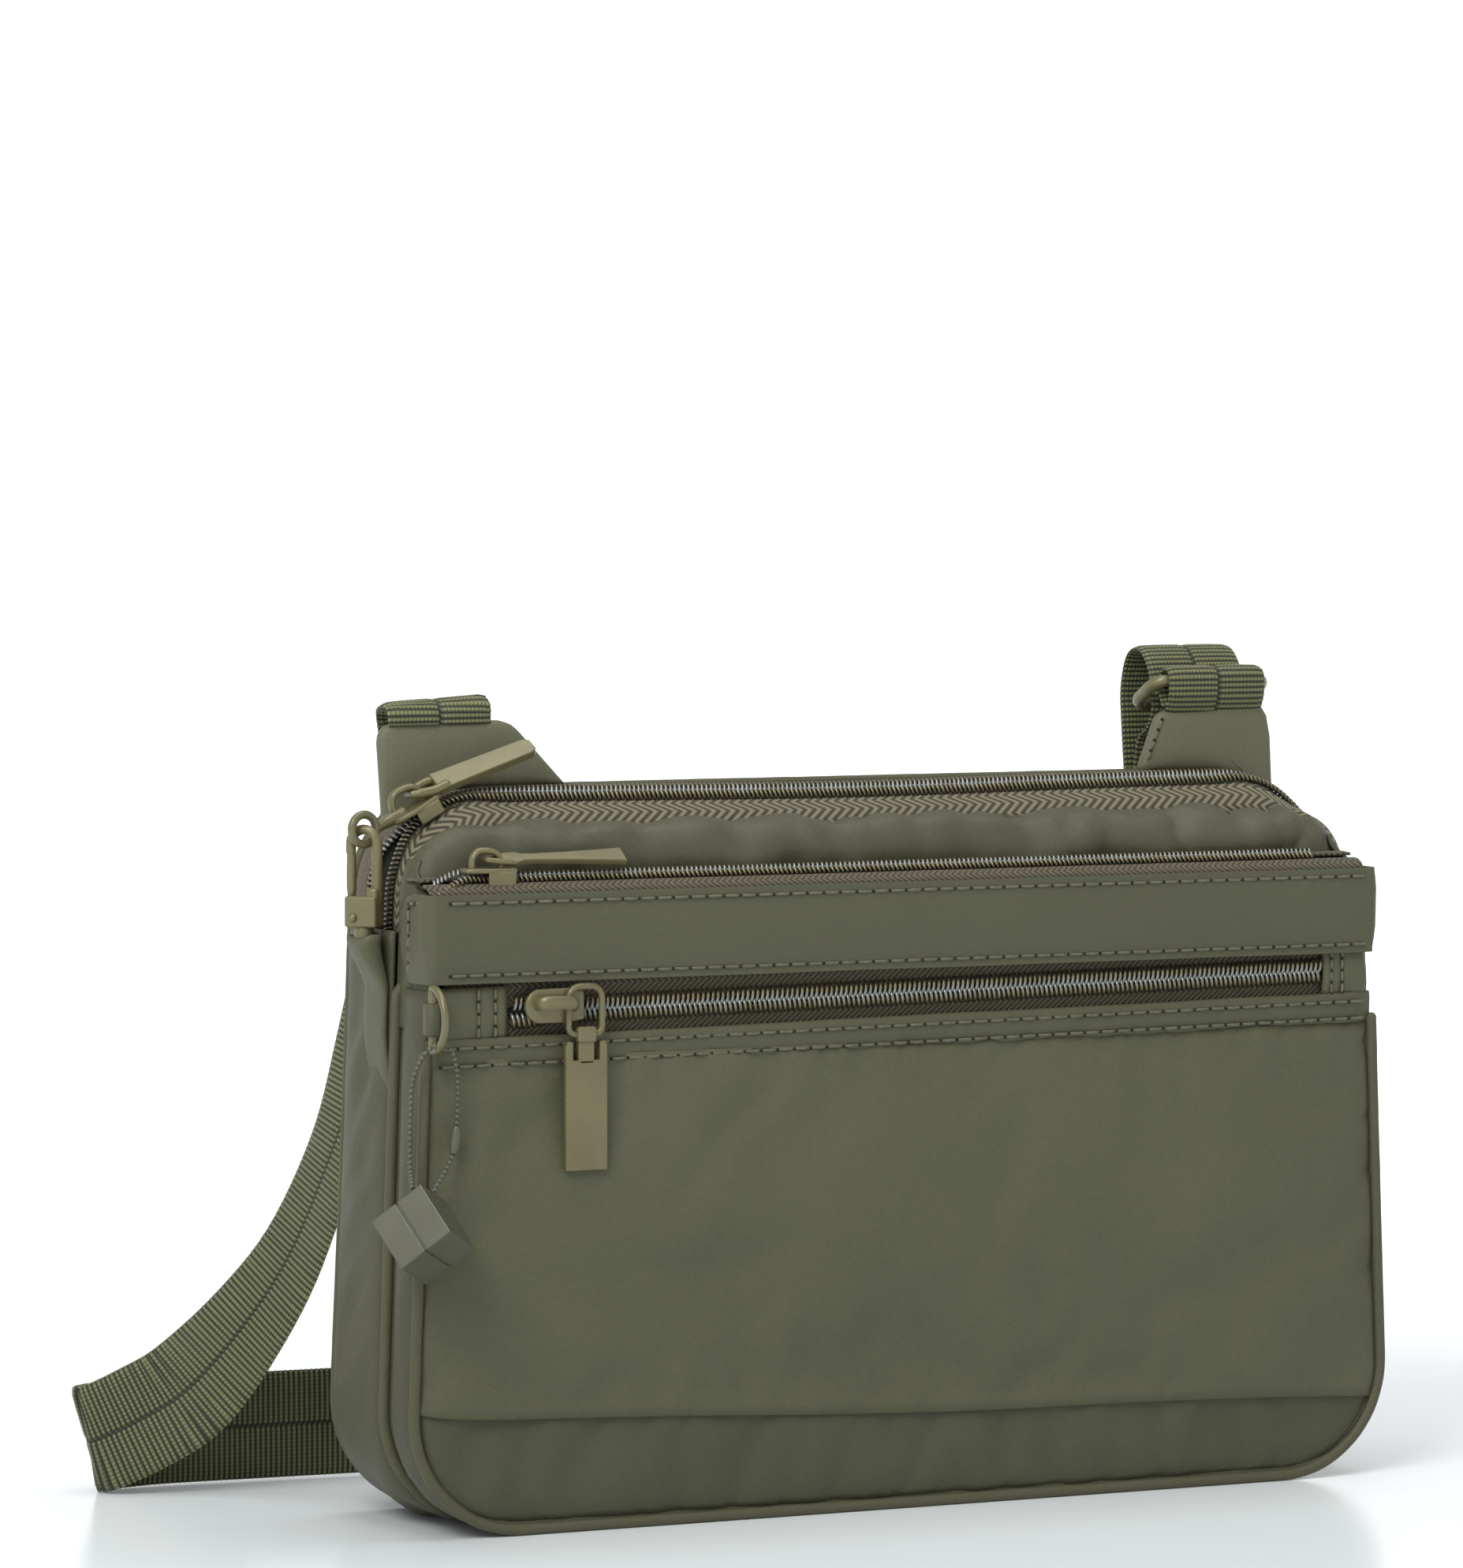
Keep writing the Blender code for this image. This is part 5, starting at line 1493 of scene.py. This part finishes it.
def room():
    floor = mesh_object("floor", [(-4000, -4000, 0), (4000, -4000, 0), (4000, 6000, 0),
                                  (-4000, 6000, 0)], [(0, 1, 2, 3)])
    made = Nodes("floor", (0.80, 0.845, 0.86), 0.22, specular=0.3)
    place = made.coordinates()
    made.roughness(made.math("ADD", made.math("MULTIPLY", made.noise(place, 3, 2), 0.08), 0.16))
    # The floor glows more with distance from the bag and not at all near it: painted light that whitens
    # the far floor.
    reach = made.add("ShaderNodeVectorMath", operation="LENGTH")
    made.join(place, reach.inputs[0])
    far = made.add("ShaderNodeMapRange")
    for key, value in (("From Min", 0.26), ("From Max", 0.75), ("To Min", 0.0), ("To Max", 0.55)):
        far.inputs[key].default_value = value
    made.join(reach.outputs["Value"], far.inputs["Value"])
    made.join(far.outputs["Result"], made.shader.inputs["Emission Strength"])
    made.shader.inputs["Emission Color"].default_value = (1, 1, 1, 1)
    floor.data.materials.append(made.material)
    world = bpy.data.worlds.new("studio")
    world.use_nodes = True
    tree = world.node_tree
    place = tree.nodes.new("ShaderNodeSeparateXYZ")
    tree.links.new(tree.nodes.new("ShaderNodeTexCoord").outputs["Generated"], place.inputs[0])
    sky = tree.nodes.new("ShaderNodeValToRGB")
    stops = ((0.2, (1, 1, 1, 1)), (0.5, (0.42, 0.43, 0.45, 1)))
    for element, (height, shown) in zip(sky.color_ramp.elements, stops):
        element.position = height
        element.color = shown
    tree.links.new(place.outputs[2], sky.inputs["Fac"])
    tree.links.new(sky.outputs["Color"], tree.nodes["Background"].inputs["Color"])
    bpy.context.scene.world = world
    area_light("key", (-1.3, -1.0, 1.5), (0.9, 0.9), 30, (1.0, 0.985, 0.96))
    area_light("top", (0.0, -0.1, 1.5), (1.2, 1.0), 12)
    bpy.context.scene.view_settings.view_transform = "Standard"


def camera():
    data = bpy.data.cameras.new("camera")
    item = link("camera", data)
    item.location = (-0.709, -1.445, 0.2455)
    item.rotation_euler = (math.radians(90 - 2.943), 0, math.radians(-25))
    data.sensor_width = 36
    data.lens = 162.47
    data.clip_start = 0.05
    bpy.context.scene.camera = item


for make in (camera, room, main_gusset, back_cloth, pipings, front_gusset, front_panel, bottom_panel,
             hem, band, upper_front, side_cheeks, main_zip, front_zip, pocket_zip, main_slider,
             front_slider, pocket_slider, snap_hook, hook_loop, d_ring, chain, tabs, straps,
             strap_hardware, inside):
    make()
finish(merge("stitch_thread", THREADS), "bag", THREAD, "nylon")
# The dark plugs in the needle holes are painted shade.
finish(merge("stitch_hole_shade", HOLES), "bag", HOLE_SHADE, "nylon")
